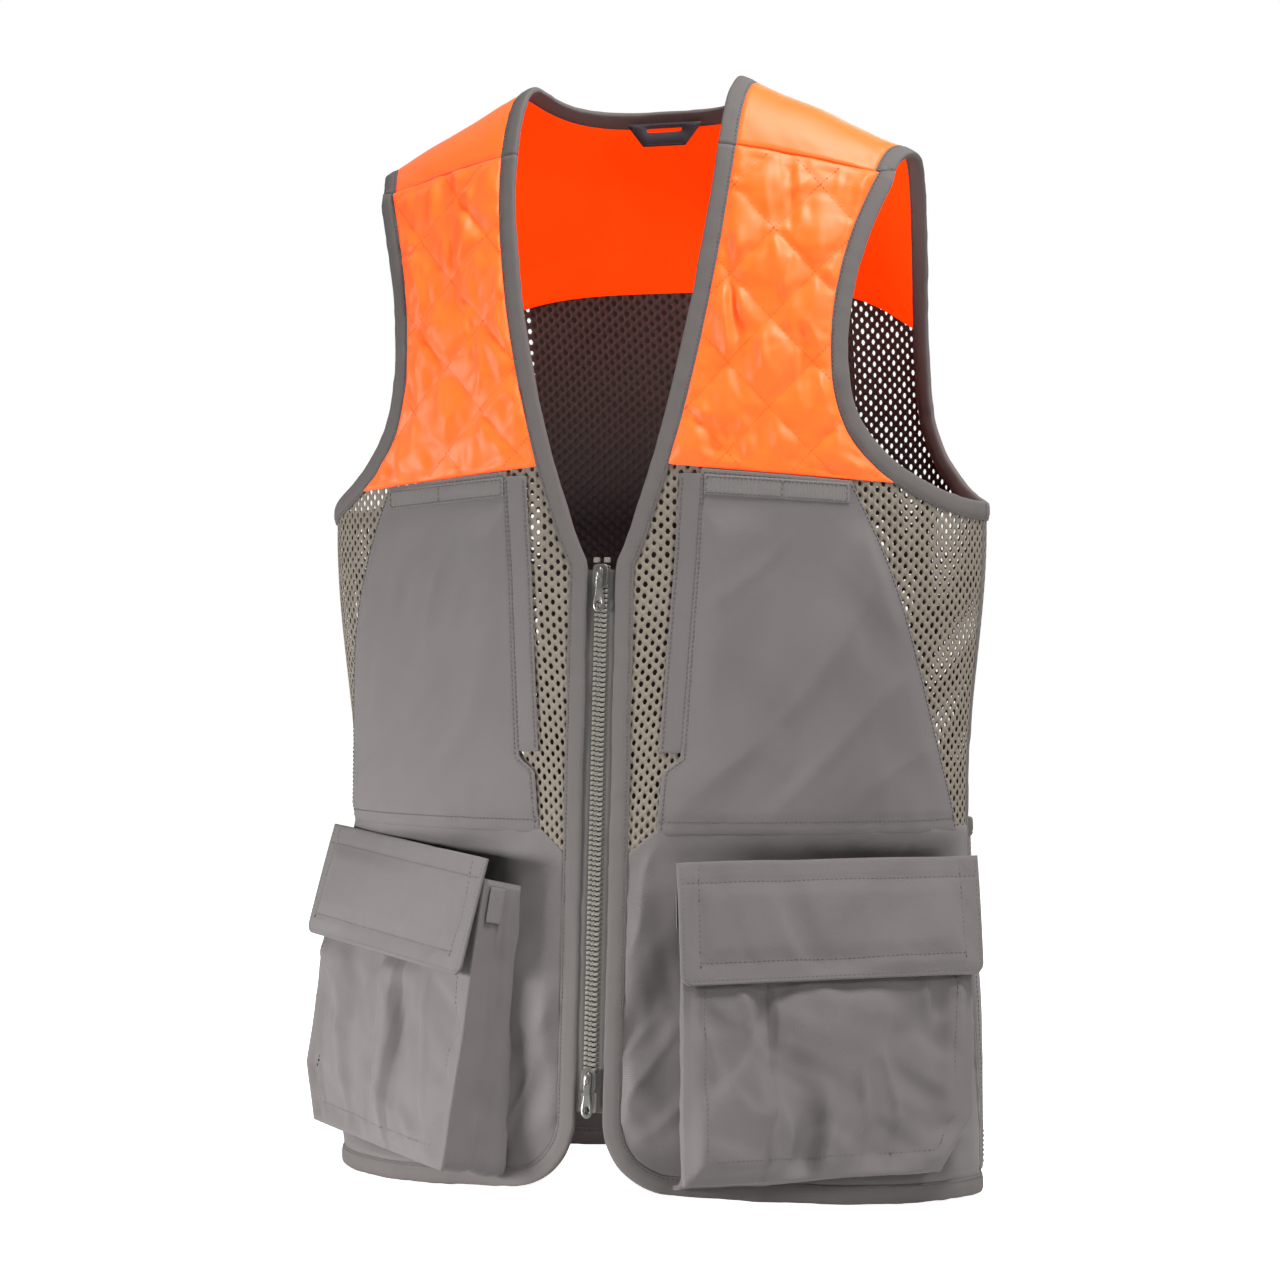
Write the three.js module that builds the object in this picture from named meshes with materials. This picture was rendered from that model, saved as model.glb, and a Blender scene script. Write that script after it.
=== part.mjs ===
// Upland shooting vest: blaze shoulders, mesh body, grey pocket panels and a two-way zip.
// Millimetres, +Z up. The wearer faces -Y, and the wearer's left is +X.
// The origin is level with the hem, in the middle of everything from the pockets to the game pouch.
import * as THREE from "three";

const SET_BACK = 20.1; // from the side seams, where y is 0 while building, to the origin

// Body form
const DOME_Z = 415; // underarm level, where the shoulders start to close in
const WAIST_Z = 255;
const CHEST_HALF_WIDTH = 216;
const WAIST_HALF_WIDTH = 206;
const HEM_HALF_WIDTH = 214;
const FRONT_DEPTH = 108; // from the side seams to the top of the zip
const FRONT_FLARE = 0.075; // the front comes forward by this share of each millimetre downwards
const CHEST_BACK_DEPTH = 105;
const WAIST_BACK_DEPTH = 96;
const HEM_BACK_DEPTH = 110;
const CHEST_ROUNDNESS = 2.2; // exponents of the plan outline: 2 is an ellipse, lower is flatter on the diagonals
const HEM_ROUNDNESS = 1.7;
const PRESS = { depth: 14, angles: [20, 84], z: [16, 34, 204, 232] }; // flattened behind the cargo pockets
const FRONT_CROWN = 2; // exponents of the profile over the shoulder
const BACK_CROWN = 2.4;
const RIDGE_Z = 698; // the shoulder line beside the neck
const RIDGE_SLOPE = 0.5;
const RIDGE_ROUND = 40;
const NECK_HALF_WIDTH = 78; // cloth edge, under the binding
const SHOULDER_HALF_WIDTH = 169;
const SHOULDER_LEAN = 30; // the shoulder line sits this far forward of the side seams

// Edges and seams
const BINDING = 10; // width of every binding
const GAP = 1.2; // between neighbouring pieces of cloth
const FRONT_EDGE_X = 20;
const HEM_Z = 11.2; // cloth edge, above the hem binding
const CORNER_RADIUS = 30; // lower front corners
const SIDE_GAP = 0.7; // from each half to the side seams
const HEM_RISE = 16; // the front hem climbs by this towards the zip
const UNDERARM_Z = 423;
const ARMHOLE_ROUND = 2.6;
const ARMHOLE_BEND = 0.45; // the share of the armhole's height that turns under the arm
const ARMHOLE_IN = [38, 45]; // plan angles where it is furthest in, front and back
const YOKE_DROP = [46, 24]; // the yoke's front seam below the shoulder line, at the neck and at the armhole
const YOKE_BACK_Z = [580, 560]; // the yoke's lower edge at the back, in the middle and at the armhole
const BACK_NECK_Z = 686;
const YOKE_SEAM_Z = [652, 630]; // about where that seam meets the neckline and the armhole
const PATCH_Z = [455, 443]; // lower edge of the quilted patch at the neckline and at the armhole
const WAIST_SEAM_Z = 231;
const MESH_TIP_Z = 216; // the mesh beside the zip ends in a point here
const MESH_TIP_X = 38;

// Chest panel: [x, z] down its inner edge, and where its outer edge starts and ends
const CHEST_INNER = [[38, 234], [41, 266], [54, 274], [63, 442]];
const CHEST_OUTER = { topX: 152, footAngle: 80 };
const CHEST_Z = [234, 439];
const FACING = { width: 12, z: [278, 436] };
const BAND = { z: [425, 437], inset: 2 };

// Cloth layers, as heights above the body form
const CLOTH = [0, 1.2];
const PADDED = [0.4, 3.2];
const EDGING = [-0.6, 2.8];
const OVERLAY = [2.4, 3.6];
const TRIM = [5, 6];
const POUCH = { angles: [97, 173], z: [13, 224], lift: 3.4, bulge: 17, cloth: 1.4 };

// Cargo pocket
const POCKET_GIRTH = 54; // along the cloth from the front centre to the pocket
const POCKET_WIDTH = 192;
const POCKET_TURN = 38; // degrees it faces away from straight ahead
const POCKET_Z = [25, 200];
const POCKET_DEPTH = [32, 9]; // in front of the fullest point of the body, at the foot and at the mouth
const POCKET_CHAMFER = [24, 34];
const POCKET_CLOTH = 1.2;
const FLAP = { topZ: 212, height: 74, over: 4, lift: 4.4, cloth: 2.6, flare: 6 }; // flare in degrees
const TOUCH_TAPE = { height: 22, inset: 14, cloth: 1 };
const SIDE_TAB = [20, 9];

// Zip, in a frame that leans with the front edge
const ZIP_TOP_Z = 393;
const ZIP_FOOT_Z = 74;
const TOOTH = { pitch: 4.8, height: 2, reach: 1.3, root: 3.3, thick: 1.3 };
const TAPE_X = [3.8, 8.2];
const SLIDER = { width: 10, height: 14, wall: 1.3, throat: 2.1, bridge: 3 };
const PULL = { width: 7.5, length: 27, cloth: 1.4, hole: 2.2, window: [1.6, 6] };
const UPPER_SLIDER_Z = 380;
const LOWER_SLIDER_Z = 72;

// Hanger label inside the back neck
const LABEL_SIZE = { top: 50, foot: 27, height: 15, slot: [24, 4], cloth: 1.2 };
const LABEL_AT = [0, 20, 686];

const RIGHT_ANGLE = Math.PI / 2;
const radians = THREE.MathUtils.degToRad;
const V = (x, y, z) => new THREE.Vector3(x, y, z);
const POCKET_ALONG = V(Math.cos(radians(POCKET_TURN)), Math.sin(radians(POCKET_TURN)), 0);
const POCKET_FACING = V(POCKET_ALONG.y, -POCKET_ALONG.x, 0);

const cloth = (color, roughness = 0.85) => new THREE.MeshStandardMaterial({ color, roughness, metalness: 0 });
const BLAZE = cloth(0xff5a0a, 0.65);
const GREY = cloth(0x827e7b);
const MESH = cloth(0x8a8073);
const EDGE = cloth(0x757071);
const WEBBING = cloth(0x6d6a67);
const TAPE = cloth(0x4d4a46);
const LABEL = cloth(0x24262a);
const TOUCH = cloth(0x55524f, 0.95);
const NYLON = cloth(0x807a70, 0.45);
const METAL = new THREE.MeshStandardMaterial({ color: 0x66655f, roughness: 0.4, metalness: 0.8 });

// ---------- the body form ----------

const clamp = (t) => Math.min(1, Math.max(0, t));
const smooth = (t) => clamp(t) ** 2 * (3 - 2 * clamp(t));
const mix = (a, b, t) => a + (b - a) * t;

// A value that runs from chest to waist to hem.
function byHeight(chest, waist, hem, z) {
  if (z > WAIST_Z) return mix(waist, chest, smooth((z - WAIST_Z) / (DOME_Z - WAIST_Z)));
  return mix(waist, hem, smooth((WAIST_Z - z) / WAIST_Z));
}

const halfWidth = (z) => byHeight(CHEST_HALF_WIDTH, WAIST_HALF_WIDTH, HEM_HALF_WIDTH, z);
const frontDepth = (z) => FRONT_DEPTH + FRONT_FLARE * Math.max(0, ZIP_TOP_Z - z);
const backDepth = (z) => byHeight(CHEST_BACK_DEPTH, WAIST_BACK_DEPTH, HEM_BACK_DEPTH, z);
const roundness = (z) => mix(HEM_ROUNDNESS, CHEST_ROUNDNESS, smooth((z - 200) / (DOME_Z - 200)));

// Height of the shoulder line above a point x.
function ridge(x) {
  const run = Math.hypot(x, RIDGE_ROUND) - Math.hypot(NECK_HALF_WIDTH, RIDGE_ROUND);
  return RIDGE_Z - RIDGE_SLOPE * run;
}

// Plan angle of the body at x: 0 at the front centre, a quarter turn at the side.
const angleAt = (x, z) => Math.asin(Math.min(1, (Math.abs(x) / halfWidth(z)) ** (roundness(z) / 2)));

// Plan angle just in front of a side seam or just behind it.
function sideAngle(z, isFront) {
  const depth = isFront ? frontDepth(z) : backDepth(z);
  const fromSide = Math.asin((SIDE_GAP / depth) ** (roundness(z) / 2));
  return RIGHT_ANGLE + (isFront ? -fromSide : fromSide);
}

// How far the shoulders lean forward at a height.
const lean = (z) => SHOULDER_LEAN * Math.max(0, (z - DOME_Z) / (RIDGE_Z - DOME_Z)) ** 2;

// How far the form is pressed in behind a cargo pocket.
function press(angle, z) {
  const [start, end] = PRESS.angles.map(radians);
  const across = Math.sin(Math.PI * clamp((Math.abs(angle) - start) / (end - start))) ** 1.5;
  const [foot, low, high, top] = PRESS.z;
  return PRESS.depth * across * smooth((z - foot) / (low - foot)) * smooth((top - z) / (top - high));
}

// A point of the body at a plan angle (0 front, half a turn back) and a height.
function body(angle, z) {
  const power = 2 / roundness(z);
  const x = halfWidth(z) * Math.sign(Math.sin(angle)) * Math.abs(Math.sin(angle)) ** power;
  const isFront = Math.cos(angle) > 0;
  let depth = (isFront ? frontDepth(z) : backDepth(z)) * Math.abs(Math.cos(angle)) ** power;
  if (z > DOME_Z) {
    const crown = isFront ? FRONT_CROWN : BACK_CROWN;
    depth *= (1 - clamp((z - DOME_Z) / (ridge(x) - DOME_Z)) ** crown) ** (1 / crown);
  }
  const p = V(x, (isFront ? -depth : depth) - lean(z), z);
  return isFront ? p.addScaledVector(POCKET_FACING, -press(angle, z)) : p;
}

// A point over the shoulder: turn is -90 degrees at the front of the chest and 0 on the shoulder line.
function shoulder(x, turn) {
  const crown = turn < 0 ? FRONT_CROWN : BACK_CROWN;
  const depth = turn < 0 ? FRONT_DEPTH : CHEST_BACK_DEPTH;
  const plan = (1 - (Math.abs(x) / CHEST_HALF_WIDTH) ** CHEST_ROUNDNESS) ** (1 / CHEST_ROUNDNESS);
  const z = DOME_Z + (ridge(x) - DOME_Z) * Math.cos(turn) ** (2 / crown);
  return V(x, Math.sign(turn) * depth * plan * Math.abs(Math.sin(turn)) ** (2 / crown) - lean(z), z);
}

// The turn at which the shoulder over x comes down to height z.
function turnAt(x, z, isFront) {
  const crown = isFront ? FRONT_CROWN : BACK_CROWN;
  const turn = Math.acos(clamp((z - DOME_Z) / (ridge(x) - DOME_Z)) ** (crown / 2));
  return isFront ? -turn : turn;
}

// How far a point is outside the body form: 0 on it, more outside.
function outside(p) {
  const y = p.y + lean(p.z);
  const isFront = y < 0;
  const crown = isFront ? FRONT_CROWN : BACK_CROWN;
  const depth = isFront ? frontDepth(p.z) : backDepth(p.z);
  const n = roundness(p.z);
  const across = (Math.abs(p.x) / halfWidth(p.z)) ** n;
  const rise = Math.max(0, (p.z - DOME_Z) / (ridge(p.x) - DOME_Z));
  if (rise > 0.5) {
    const plan = Math.max(1e-3, 1 - across) ** (1 / n);
    return (Math.abs(y) / (depth * plan)) ** crown + rise ** crown - 1;
  }
  const closed = (1 - rise ** crown) ** (1 / crown);
  return across + (Math.abs(y) / (depth * closed)) ** n - 1;
}

// Outward direction of the body form at a point on it.
function normalAt(p) {
  const step = 0.05;
  const slope = (axis) => outside(p.clone().addScaledVector(axis, step)) - outside(p.clone().addScaledVector(axis, -step));
  return V(slope(V(1, 0, 0)), slope(V(0, 1, 0)), slope(V(0, 0, 1))).normalize();
}

// ---------- solids ----------

const range = (count) => Array.from({ length: count + 1 }, (_, i) => i / count);

// A closed solid between two grids of points, each a list of rows of equal length.
function between(top, bottom) {
  const rows = top.length;
  const columns = top[0].length;
  const points = [...top.flat(), ...bottom.flat()];
  const at = (side, j, i) => side * rows * columns + j * columns + i;
  const faces = [];
  const quad = (a, b, c, d) => faces.push(a, b, c, a, c, d);
  for (let j = 0; j < rows - 1; j++)
    for (let i = 0; i < columns - 1; i++) {
      quad(at(0, j, i), at(0, j, i + 1), at(0, j + 1, i + 1), at(0, j + 1, i));
      quad(at(1, j, i), at(1, j + 1, i), at(1, j + 1, i + 1), at(1, j, i + 1));
    }
  for (let i = 0; i < columns - 1; i++) {
    quad(at(0, 0, i), at(1, 0, i), at(1, 0, i + 1), at(0, 0, i + 1));
    quad(at(0, rows - 1, i + 1), at(1, rows - 1, i + 1), at(1, rows - 1, i), at(0, rows - 1, i));
  }
  const last = columns - 1;
  for (let j = 0; j < rows - 1; j++) {
    quad(at(0, j + 1, 0), at(1, j + 1, 0), at(1, j, 0), at(0, j, 0));
    quad(at(0, j, last), at(1, j, last), at(1, j + 1, last), at(0, j + 1, last));
  }
  let volume = 0;
  for (let k = 0; k < faces.length; k += 3) {
    const [a, b, c] = [points[faces[k]], points[faces[k + 1]], points[faces[k + 2]]];
    volume += a.dot(b.clone().cross(c));
  }
  if (volume < 0) faces.reverse();
  return new THREE.BufferGeometry().setFromPoints(points).setIndex(faces);
}

// Cloth over place(u, v), which maps the unit square onto the body form, between two heights above it.
function sheet(place, columns, rows, [low, high]) {
  const level = (height) =>
    range(rows).map((v) =>
      range(columns).map((u) => {
        const p = place(u, v);
        return p.clone().addScaledVector(normalAt(p), typeof height === "function" ? height(u, v) : height);
      }),
    );
  return between(level(high), level(low));
}

// A binding a gap away from the edge path(t) of a piece of cloth, on the side away from inside(t).
// With isLevel it hangs straight down, so that its foot is flat.
function binding(path, inside, columns, [low, high] = EDGING, isLevel = false) {
  const step = 0.002;
  const frames = range(columns).map((t) => {
    const p = path(t);
    const normal = normalAt(p);
    const away = path(Math.min(1, t + step)).sub(path(Math.max(0, t - step))).cross(normal).normalize();
    if (away.dot(inside(t).sub(p)) > 0) away.negate();
    if (isLevel) {
      away.set(0, 0, -1);
      normal.setZ(0).normalize();
    }
    return { p, normal, away };
  });
  const level = (height) =>
    [GAP, BINDING + GAP].map((out) =>
      frames.map(({ p, normal, away }) => p.clone().addScaledVector(away, out).addScaledVector(normal, height)),
    );
  return between(level(high), level(low));
}

// A flat plate from an outline of [x, y] points, between two heights.
function plate(outline, [low, high], holes = []) {
  const shape = new THREE.Shape(outline.map(([x, y]) => new THREE.Vector2(x, y)));
  shape.holes = holes;
  const flat = new THREE.ExtrudeGeometry(shape, { depth: high - low, bevelEnabled: false, curveSegments: 5 });
  return flat.translate(0, 0, low);
}

const box = (x, y, depth) => plate([[x[0], y[0]], [x[1], y[0]], [x[1], y[1]], [x[0], y[1]]], depth);

function mesh(name, geometry, material) {
  const made = new THREE.Mesh(geometry, material);
  made.name = name;
  return made;
}

// ---------- edges of the cloth ----------

// The neckline and the front edge, as x at a height.
function frontEdgeX(z) {
  const t = clamp((z - ZIP_TOP_Z) / (RIDGE_Z - ZIP_TOP_Z));
  return FRONT_EDGE_X + (NECK_HALF_WIDTH - FRONT_EDGE_X) * Math.sin(RIGHT_ANGLE * t ** 0.87);
}

// The armhole from the underarm (t = 0) to the shoulder line (t = 1), as [plan angle, height].
function armhole(t, isFront) {
  const top = ridge(SHOULDER_HALF_WIDTH);
  const narrow = radians(ARMHOLE_IN[isFront ? 0 : 1]);
  let share, angle;
  if (t < 0.5) {
    const turn = RIGHT_ANGLE * t * 2;
    share = ARMHOLE_BEND * (1 - Math.cos(turn) ** (2 / ARMHOLE_ROUND));
    angle = mix(RIGHT_ANGLE, narrow, Math.sin(turn) ** (2 / ARMHOLE_ROUND));
  } else {
    share = mix(ARMHOLE_BEND, 1, t * 2 - 1);
    angle = mix(narrow, angleAt(SHOULDER_HALF_WIDTH, DOME_Z), (t * 2 - 1) ** 2);
  }
  return [isFront ? angle : Math.PI - angle, mix(UNDERARM_Z, top, share)];
}

// The t at which the armhole passes a height.
function armholeShare(z) {
  let [low, high] = [0, 1];
  for (let i = 0; i < 30; i++) {
    const middle = (low + high) / 2;
    if (armhole(middle, true)[1] < z) low = middle;
    else high = middle;
  }
  return low;
}

const armholeX = (z, isFront) => Math.abs(body(armhole(armholeShare(z), isFront)[0], z).x);

// Cloth between two edges foot(u) and top(u), each [plan angle, height]. Its first side is the front edge.
function fromFrontEdge(foot, top) {
  return (u, v) => {
    const [a, b] = [foot(u), top(u)];
    const z = mix(a[1], b[1], v);
    const straight = mix(foot(0)[0], top(0)[0], v);
    const edge = angleAt(frontEdgeX(z), z);
    const angle = mix(a[0], b[0], v) + (edge - straight) * (1 - u) ** 3;
    return body(u === 1 ? Math.min(angle, sideAngle(z, true)) : angle, z);
  };
}

// x along a line of [x, z] points.
function xAlong(points, z) {
  const after = Math.max(1, points.findIndex((p) => p[1] >= z));
  const [a, b] = [points[after - 1], points[after]];
  return mix(a[0], b[0], clamp((z - a[1]) / (b[1] - a[1])));
}

// ---------- the front halves, built on the wearer's left ----------



const NECK_X = frontEdgeX(YOKE_SEAM_Z[0]);
const ARM_X = armholeX(YOKE_SEAM_Z[1], true);
const yokeSeamZ = (x) => ridge(x) - mix(...YOKE_DROP, clamp((x - NECK_X) / (ARM_X - NECK_X)));

// The quilted patch: u from the neckline to the armhole, v upwards.
function patchPlace(u, v) {
  const top = yokeSeamZ(mix(NECK_X, ARM_X, u)) - GAP;
  const z = mix(mix(PATCH_Z[0], PATCH_Z[1], u), top, v);
  const x = mix(frontEdgeX(z), armholeX(z, true), u);
  return body(angleAt(x, z), z);
}

// Top of the front mesh: under the patch, then down round the armhole to the side seam.
function meshTop(u) {
  const turn = 0.5;
  if (u < turn) {
    const z = mix(PATCH_Z[0], PATCH_Z[1], u / turn) - GAP;
    return [angleAt(mix(frontEdgeX(z), armholeX(PATCH_Z[1] - GAP, true), u / turn), z), z];
  }
  const [angle, z] = armhole(armholeShare(PATCH_Z[1] - GAP) * (1 - (u - turn) / (1 - turn)), true);
  return [Math.min(angle, sideAngle(z, true)), z];
}

// Waist seam: dips to the zip as the lower end of the mesh. Spread crowds points towards the zip.
function waistSeam(u, rise) {
  const x = mix(FRONT_EDGE_X, MESH_TIP_X, clamp(u * 8));
  const z = mix(MESH_TIP_Z, WAIST_SEAM_Z, clamp(u * 8)) + rise;
  return [mix(angleAt(x, z), sideAngle(z, true), clamp((u - 1 / 8) / (7 / 8))), z];
}

// Lower edge of the front: rounds the corner by the zip, then runs along the hem.
function hemEdge(u) {
  const corner = 0.24;
  const turn = RIGHT_ANGLE * clamp(u / corner);
  const x = FRONT_EDGE_X + CORNER_RADIUS * (1 - Math.cos(turn));
  const round = HEM_Z + CORNER_RADIUS * (1 - Math.sin(turn));
  const angle = mix(angleAt(x, round), sideAngle(round, true), clamp((u - corner) / (1 - corner)));
  return [angle, round + HEM_RISE * (1 - angle / RIGHT_ANGLE) ** 2];
}

function chestPlace(u, v) {
  const z = mix(CHEST_Z[0], CHEST_Z[1], v);
  const inner = angleAt(xAlong(CHEST_INNER, z), z);
  const outer = mix(radians(CHEST_OUTER.footAngle), angleAt(CHEST_OUTER.topX, CHEST_Z[1]), v);
  return body(mix(inner, outer, u), z);
}

function facingPlace(u, v) {
  const z = mix(FACING.z[0], FACING.z[1], v);
  const x = xAlong(CHEST_INNER, z) - GAP - FACING.width * (1 - u);
  return body(angleAt(x, z), z);
}

function bandPlace(u, v) {
  const z = mix(BAND.z[0], BAND.z[1], v);
  const inner = angleAt(xAlong(CHEST_INNER, z) + BAND.inset, z);
  const outer = angleAt(CHEST_OUTER.topX - BAND.inset, z);
  return body(mix(inner, outer, u), z);
}

// The front edge of the cloth from the side seam, along the hem and up the neckline to the yoke.
function frontEdge(t) {
  const turn = 0.4;
  if (t < turn) return body(...hemEdge(1 - t / turn));
  const z = mix(hemEdge(0)[1], yokeSeamZ(NECK_X) - GAP, (t - turn) / (1 - turn));
  return body(angleAt(frontEdgeX(z), z), z);
}

function frontEdgeInside(t) {
  const p = frontEdge(t);
  return p.clone().add(V(t < 0.1 ? 0 : 30, 0, t < 0.4 ? 30 : 0));
}

function bodyPieces() {
  const mesh2 = fromFrontEdge((u) => waistSeam(u, GAP), meshTop);
  const lower = fromFrontEdge(hemEdge, (u) => waistSeam(u, 0));
  const armEnd = armholeShare(yokeSeamZ(ARM_X) - GAP);
  const arm = (t) => body(...armhole(0.004 + (armEnd - 0.004) * t, true));
  return [
    mesh("shoulder_patch", sheet(patchPlace, 10, 16, PADDED), BLAZE),
    mesh("front_mesh", sheet(mesh2, 24, 12, CLOTH), MESH),
    mesh("chest_panel", sheet(chestPlace, 10, 20, OVERLAY), GREY),
    mesh("chest_pocket_facing", sheet(facingPlace, 2, 8, OVERLAY), GREY),
    mesh("chest_band", sheet(bandPlace, 8, 1, TRIM), WEBBING),
    mesh("lower_front_panel", sheet(lower, 24, 8, CLOTH), GREY),
    mesh("front_edge_binding", binding(frontEdge, frontEdgeInside, 64), EDGE),
    mesh("front_armhole_binding", binding(arm, (t) => arm(t).add(V(-40, 0, -40)), 28), EDGE),
  ];
}

// ---------- cargo pocket ----------

// The pocket's own frame: x along it from the inner edge, y up its face, z straight out.
function pocketFrame() {
  const [along, facing] = [POCKET_ALONG, POCKET_FACING];
  const standing = POCKET_Z.map((z, i) => {
    const reach = Math.max(...range(60).map((t) => body(RIGHT_ANGLE * t * 0.99, z).dot(facing)));
    return reach + POCKET_DEPTH[i];
  });
  const start = innerPocketCorner().dot(along);
  const foot = along.clone().multiplyScalar(start).addScaledVector(facing, standing[0]).setZ(POCKET_Z[0]);
  const up = facing.clone().multiplyScalar(standing[1] - standing[0]).setZ(POCKET_Z[1] - POCKET_Z[0]).normalize();
  return new THREE.Matrix4().makeBasis(along, up, along.clone().cross(up)).setPosition(foot);
}

// Where the pocket starts, measured along the cloth from the front centre.
function innerPocketCorner() {
  const z = 120;
  let girth = 0;
  let p = body(0, z);
  for (let angle = 0.01; girth < POCKET_GIRTH; angle += 0.01) {
    const next = body(angle, z);
    girth += next.distanceTo(p);
    p = next;
  }
  return p;
}

const POCKET = pocketFrame();
const FACE_HEIGHT = (POCKET_Z[1] - POCKET_Z[0]) / POCKET.elements[6];
const faceHeight = (z) => ((z - POCKET_Z[0]) / (POCKET_Z[1] - POCKET_Z[0])) * FACE_HEIGHT;

// The outline of the pocket from its mouth, down the inner side, along the foot and up the outer side.
function pocketOutline(inset) {
  const [low, right] = [inset, POCKET_WIDTH - inset];
  const [cx, cy] = [POCKET_CHAMFER[0] - inset * 0.5, POCKET_CHAMFER[1] - inset * 0.3];
  const corners = [[low, FACE_HEIGHT], [low, low], [right - cx, low], [right, low + cy], [right, FACE_HEIGHT]];
  return corners;
}

// Points along a run of straight lines, a few to each line.
function alongLines(corners, each) {
  const points = corners.slice(1).flatMap((corner, i) =>
    range(each).slice(0, -1).map((t) => [mix(corners[i][0], corner[0], t), mix(corners[i][1], corner[1], t)]),
  );
  return [...points, corners.at(-1)];
}

// From a point of the pocket's face, how far behind it the cloth of the vest lies.
function depthToBody([x, y], clearance) {
  let [near, far] = [0, 90];
  for (let i = 0; i < 24; i++) {
    const middle = (near + far) / 2;
    if (outside(V(x, y, -middle).applyMatrix4(POCKET)) > 0) near = middle;
    else far = middle;
  }
  const p = V(x, y, -near).applyMatrix4(POCKET);
  return near + press(angleAt(p.x, p.z), p.z) - clearance;
}

function gusset() {
  const start = 0.4;
  const each = 7;
  const outer = alongLines(pocketOutline(0), each);
  const inner = alongLines(pocketOutline(POCKET_CLOTH), each);
  const wall = (outline) => {
    const front = outline.map(([x, y]) => V(x, y, -start - POCKET_CLOTH / 2));
    const back = outline.map((p, i) => V(...p, -depthToBody(outer[i], 4)));
    return [front, back].map((row) => row.map((p) => p.applyMatrix4(POCKET)));
  };
  return between(wall(outer), wall(inner));
}

const onPocket = (geometry) => geometry.applyMatrix4(POCKET);

function pocketPieces() {
  const top = FACE_HEIGHT;
  const tape = [TOUCH_TAPE.inset, POCKET_WIDTH - TOUCH_TAPE.inset];
  const tapeTop = top - 12;
  return [
    mesh("pocket_face", onPocket(plate(pocketOutline(0), [-POCKET_CLOTH / 2, POCKET_CLOTH / 2])), GREY),
    mesh("pocket_gusset", gusset(), GREY),
    mesh("pocket_loop_tape", onPocket(box(tape, [tapeTop - TOUCH_TAPE.height, tapeTop], [0.9, 1.7])), TOUCH),
    mesh("pocket_side_tab", onPocket(box([-1.6, -0.4], [top - 26, top - 4], [-14, -4])), WEBBING),
  ];
}

function flapPieces() {
  const { inset, height, cloth: thick } = TOUCH_TAPE;
  const hang = (geometry) =>
    onPocket(geometry.rotateX(-radians(FLAP.flare)).translate(0, faceHeight(FLAP.topZ), FLAP.lift));
  const tape = box([inset, POCKET_WIDTH - inset], [-26 - height, -26], [-0.4 - thick, -0.4]);
  return [
    mesh("flap", hang(box([-FLAP.over, POCKET_WIDTH + FLAP.over], [-FLAP.height, 0], [0, FLAP.cloth])), GREY),
    mesh("flap_hook_tape", hang(tape), TOUCH),
  ];
}

// ---------- zip ----------

// The zip's own frame: x across it, y up the front edge, z straight out. Its origin is level with the hem.
function zipFrame() {
  const foot = body(0, 0);
  const up = body(0, ZIP_TOP_Z).sub(foot).normalize();
  return new THREE.Matrix4().makeBasis(V(1, 0, 0), up, V(1, 0, 0).cross(up)).setPosition(foot);
}

const ZIP = zipFrame();
const onZip = (geometry) => geometry.applyMatrix4(ZIP);
const onZipY = (z) => z / ZIP.elements[6];

// One side of the chain, joined by its root. The other side is set half a pitch up.
function teeth(shift) {
  const [foot, top] = [onZipY(ZIP_FOOT_Z) + 2 + shift, onZipY(UPPER_SLIDER_Z) + 8];
  const count = Math.floor((top - foot) / TOOTH.pitch);
  const outline = [[TOOTH.root, foot + count * TOOTH.pitch], [TOOTH.root, foot]];
  for (let i = 0; i < count; i++) {
    const y = foot + i * TOOTH.pitch;
    const rootX = TOOTH.root - 0.9;
    outline.push([rootX, y], [-TOOTH.reach, y], [-TOOTH.reach, y + TOOTH.height], [rootX, y + TOOTH.height]);
  }
  outline.push([TOOTH.root - 0.9, foot + count * TOOTH.pitch]);
  return plate(outline.reverse(), [-TOOTH.thick, TOOTH.thick]);
}

function zipPieces(shift) {
  const top = onZipY(UPPER_SLIDER_Z) + SLIDER.height - SLIDER.bridge - 0.6;
  const foot = onZipY(LOWER_SLIDER_Z) + SLIDER.bridge + 0.6;
  const stopFoot = onZipY(UPPER_SLIDER_Z) + SLIDER.height + 0.8;
  const pinTop = onZipY(LOWER_SLIDER_Z) - 0.8;
  return [
    mesh("zip_tape", onZip(box(TAPE_X, [foot, top], [-0.8, 0])), TAPE),
    mesh("zip_teeth", onZip(teeth(shift)), NYLON),
    mesh("zip_top_stop", onZip(box([1.6, 5.2], [stopFoot, stopFoot + 3], [-1.2, 1.4])), METAL),
    mesh("zip_pin", onZip(box([1.8, 4.6], [pinTop - 12, pinTop], [-1.4, 0.6])), METAL),
  ];
}

// A slider, with the bridge between its plates at the upper or the lower end.
function slider(isUpper) {
  const { width, height, wall, throat, bridge } = SLIDER;
  const outer = throat + wall;
  const solid = height - bridge;
  const profile = [[-outer, 0], [-throat, 0], [-throat, solid], [throat, solid], [throat, 0], [outer, 0]];
  profile.push([outer, height], [-outer, height]);
  const made = plate(profile, [-width / 2, width / 2]).rotateY(-RIGHT_ANGLE);
  if (!isUpper) made.rotateZ(Math.PI).translate(0, height, 0);
  return onZip(made.translate(0, onZipY(isUpper ? UPPER_SLIDER_Z : LOWER_SLIDER_Z), 0));
}

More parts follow.
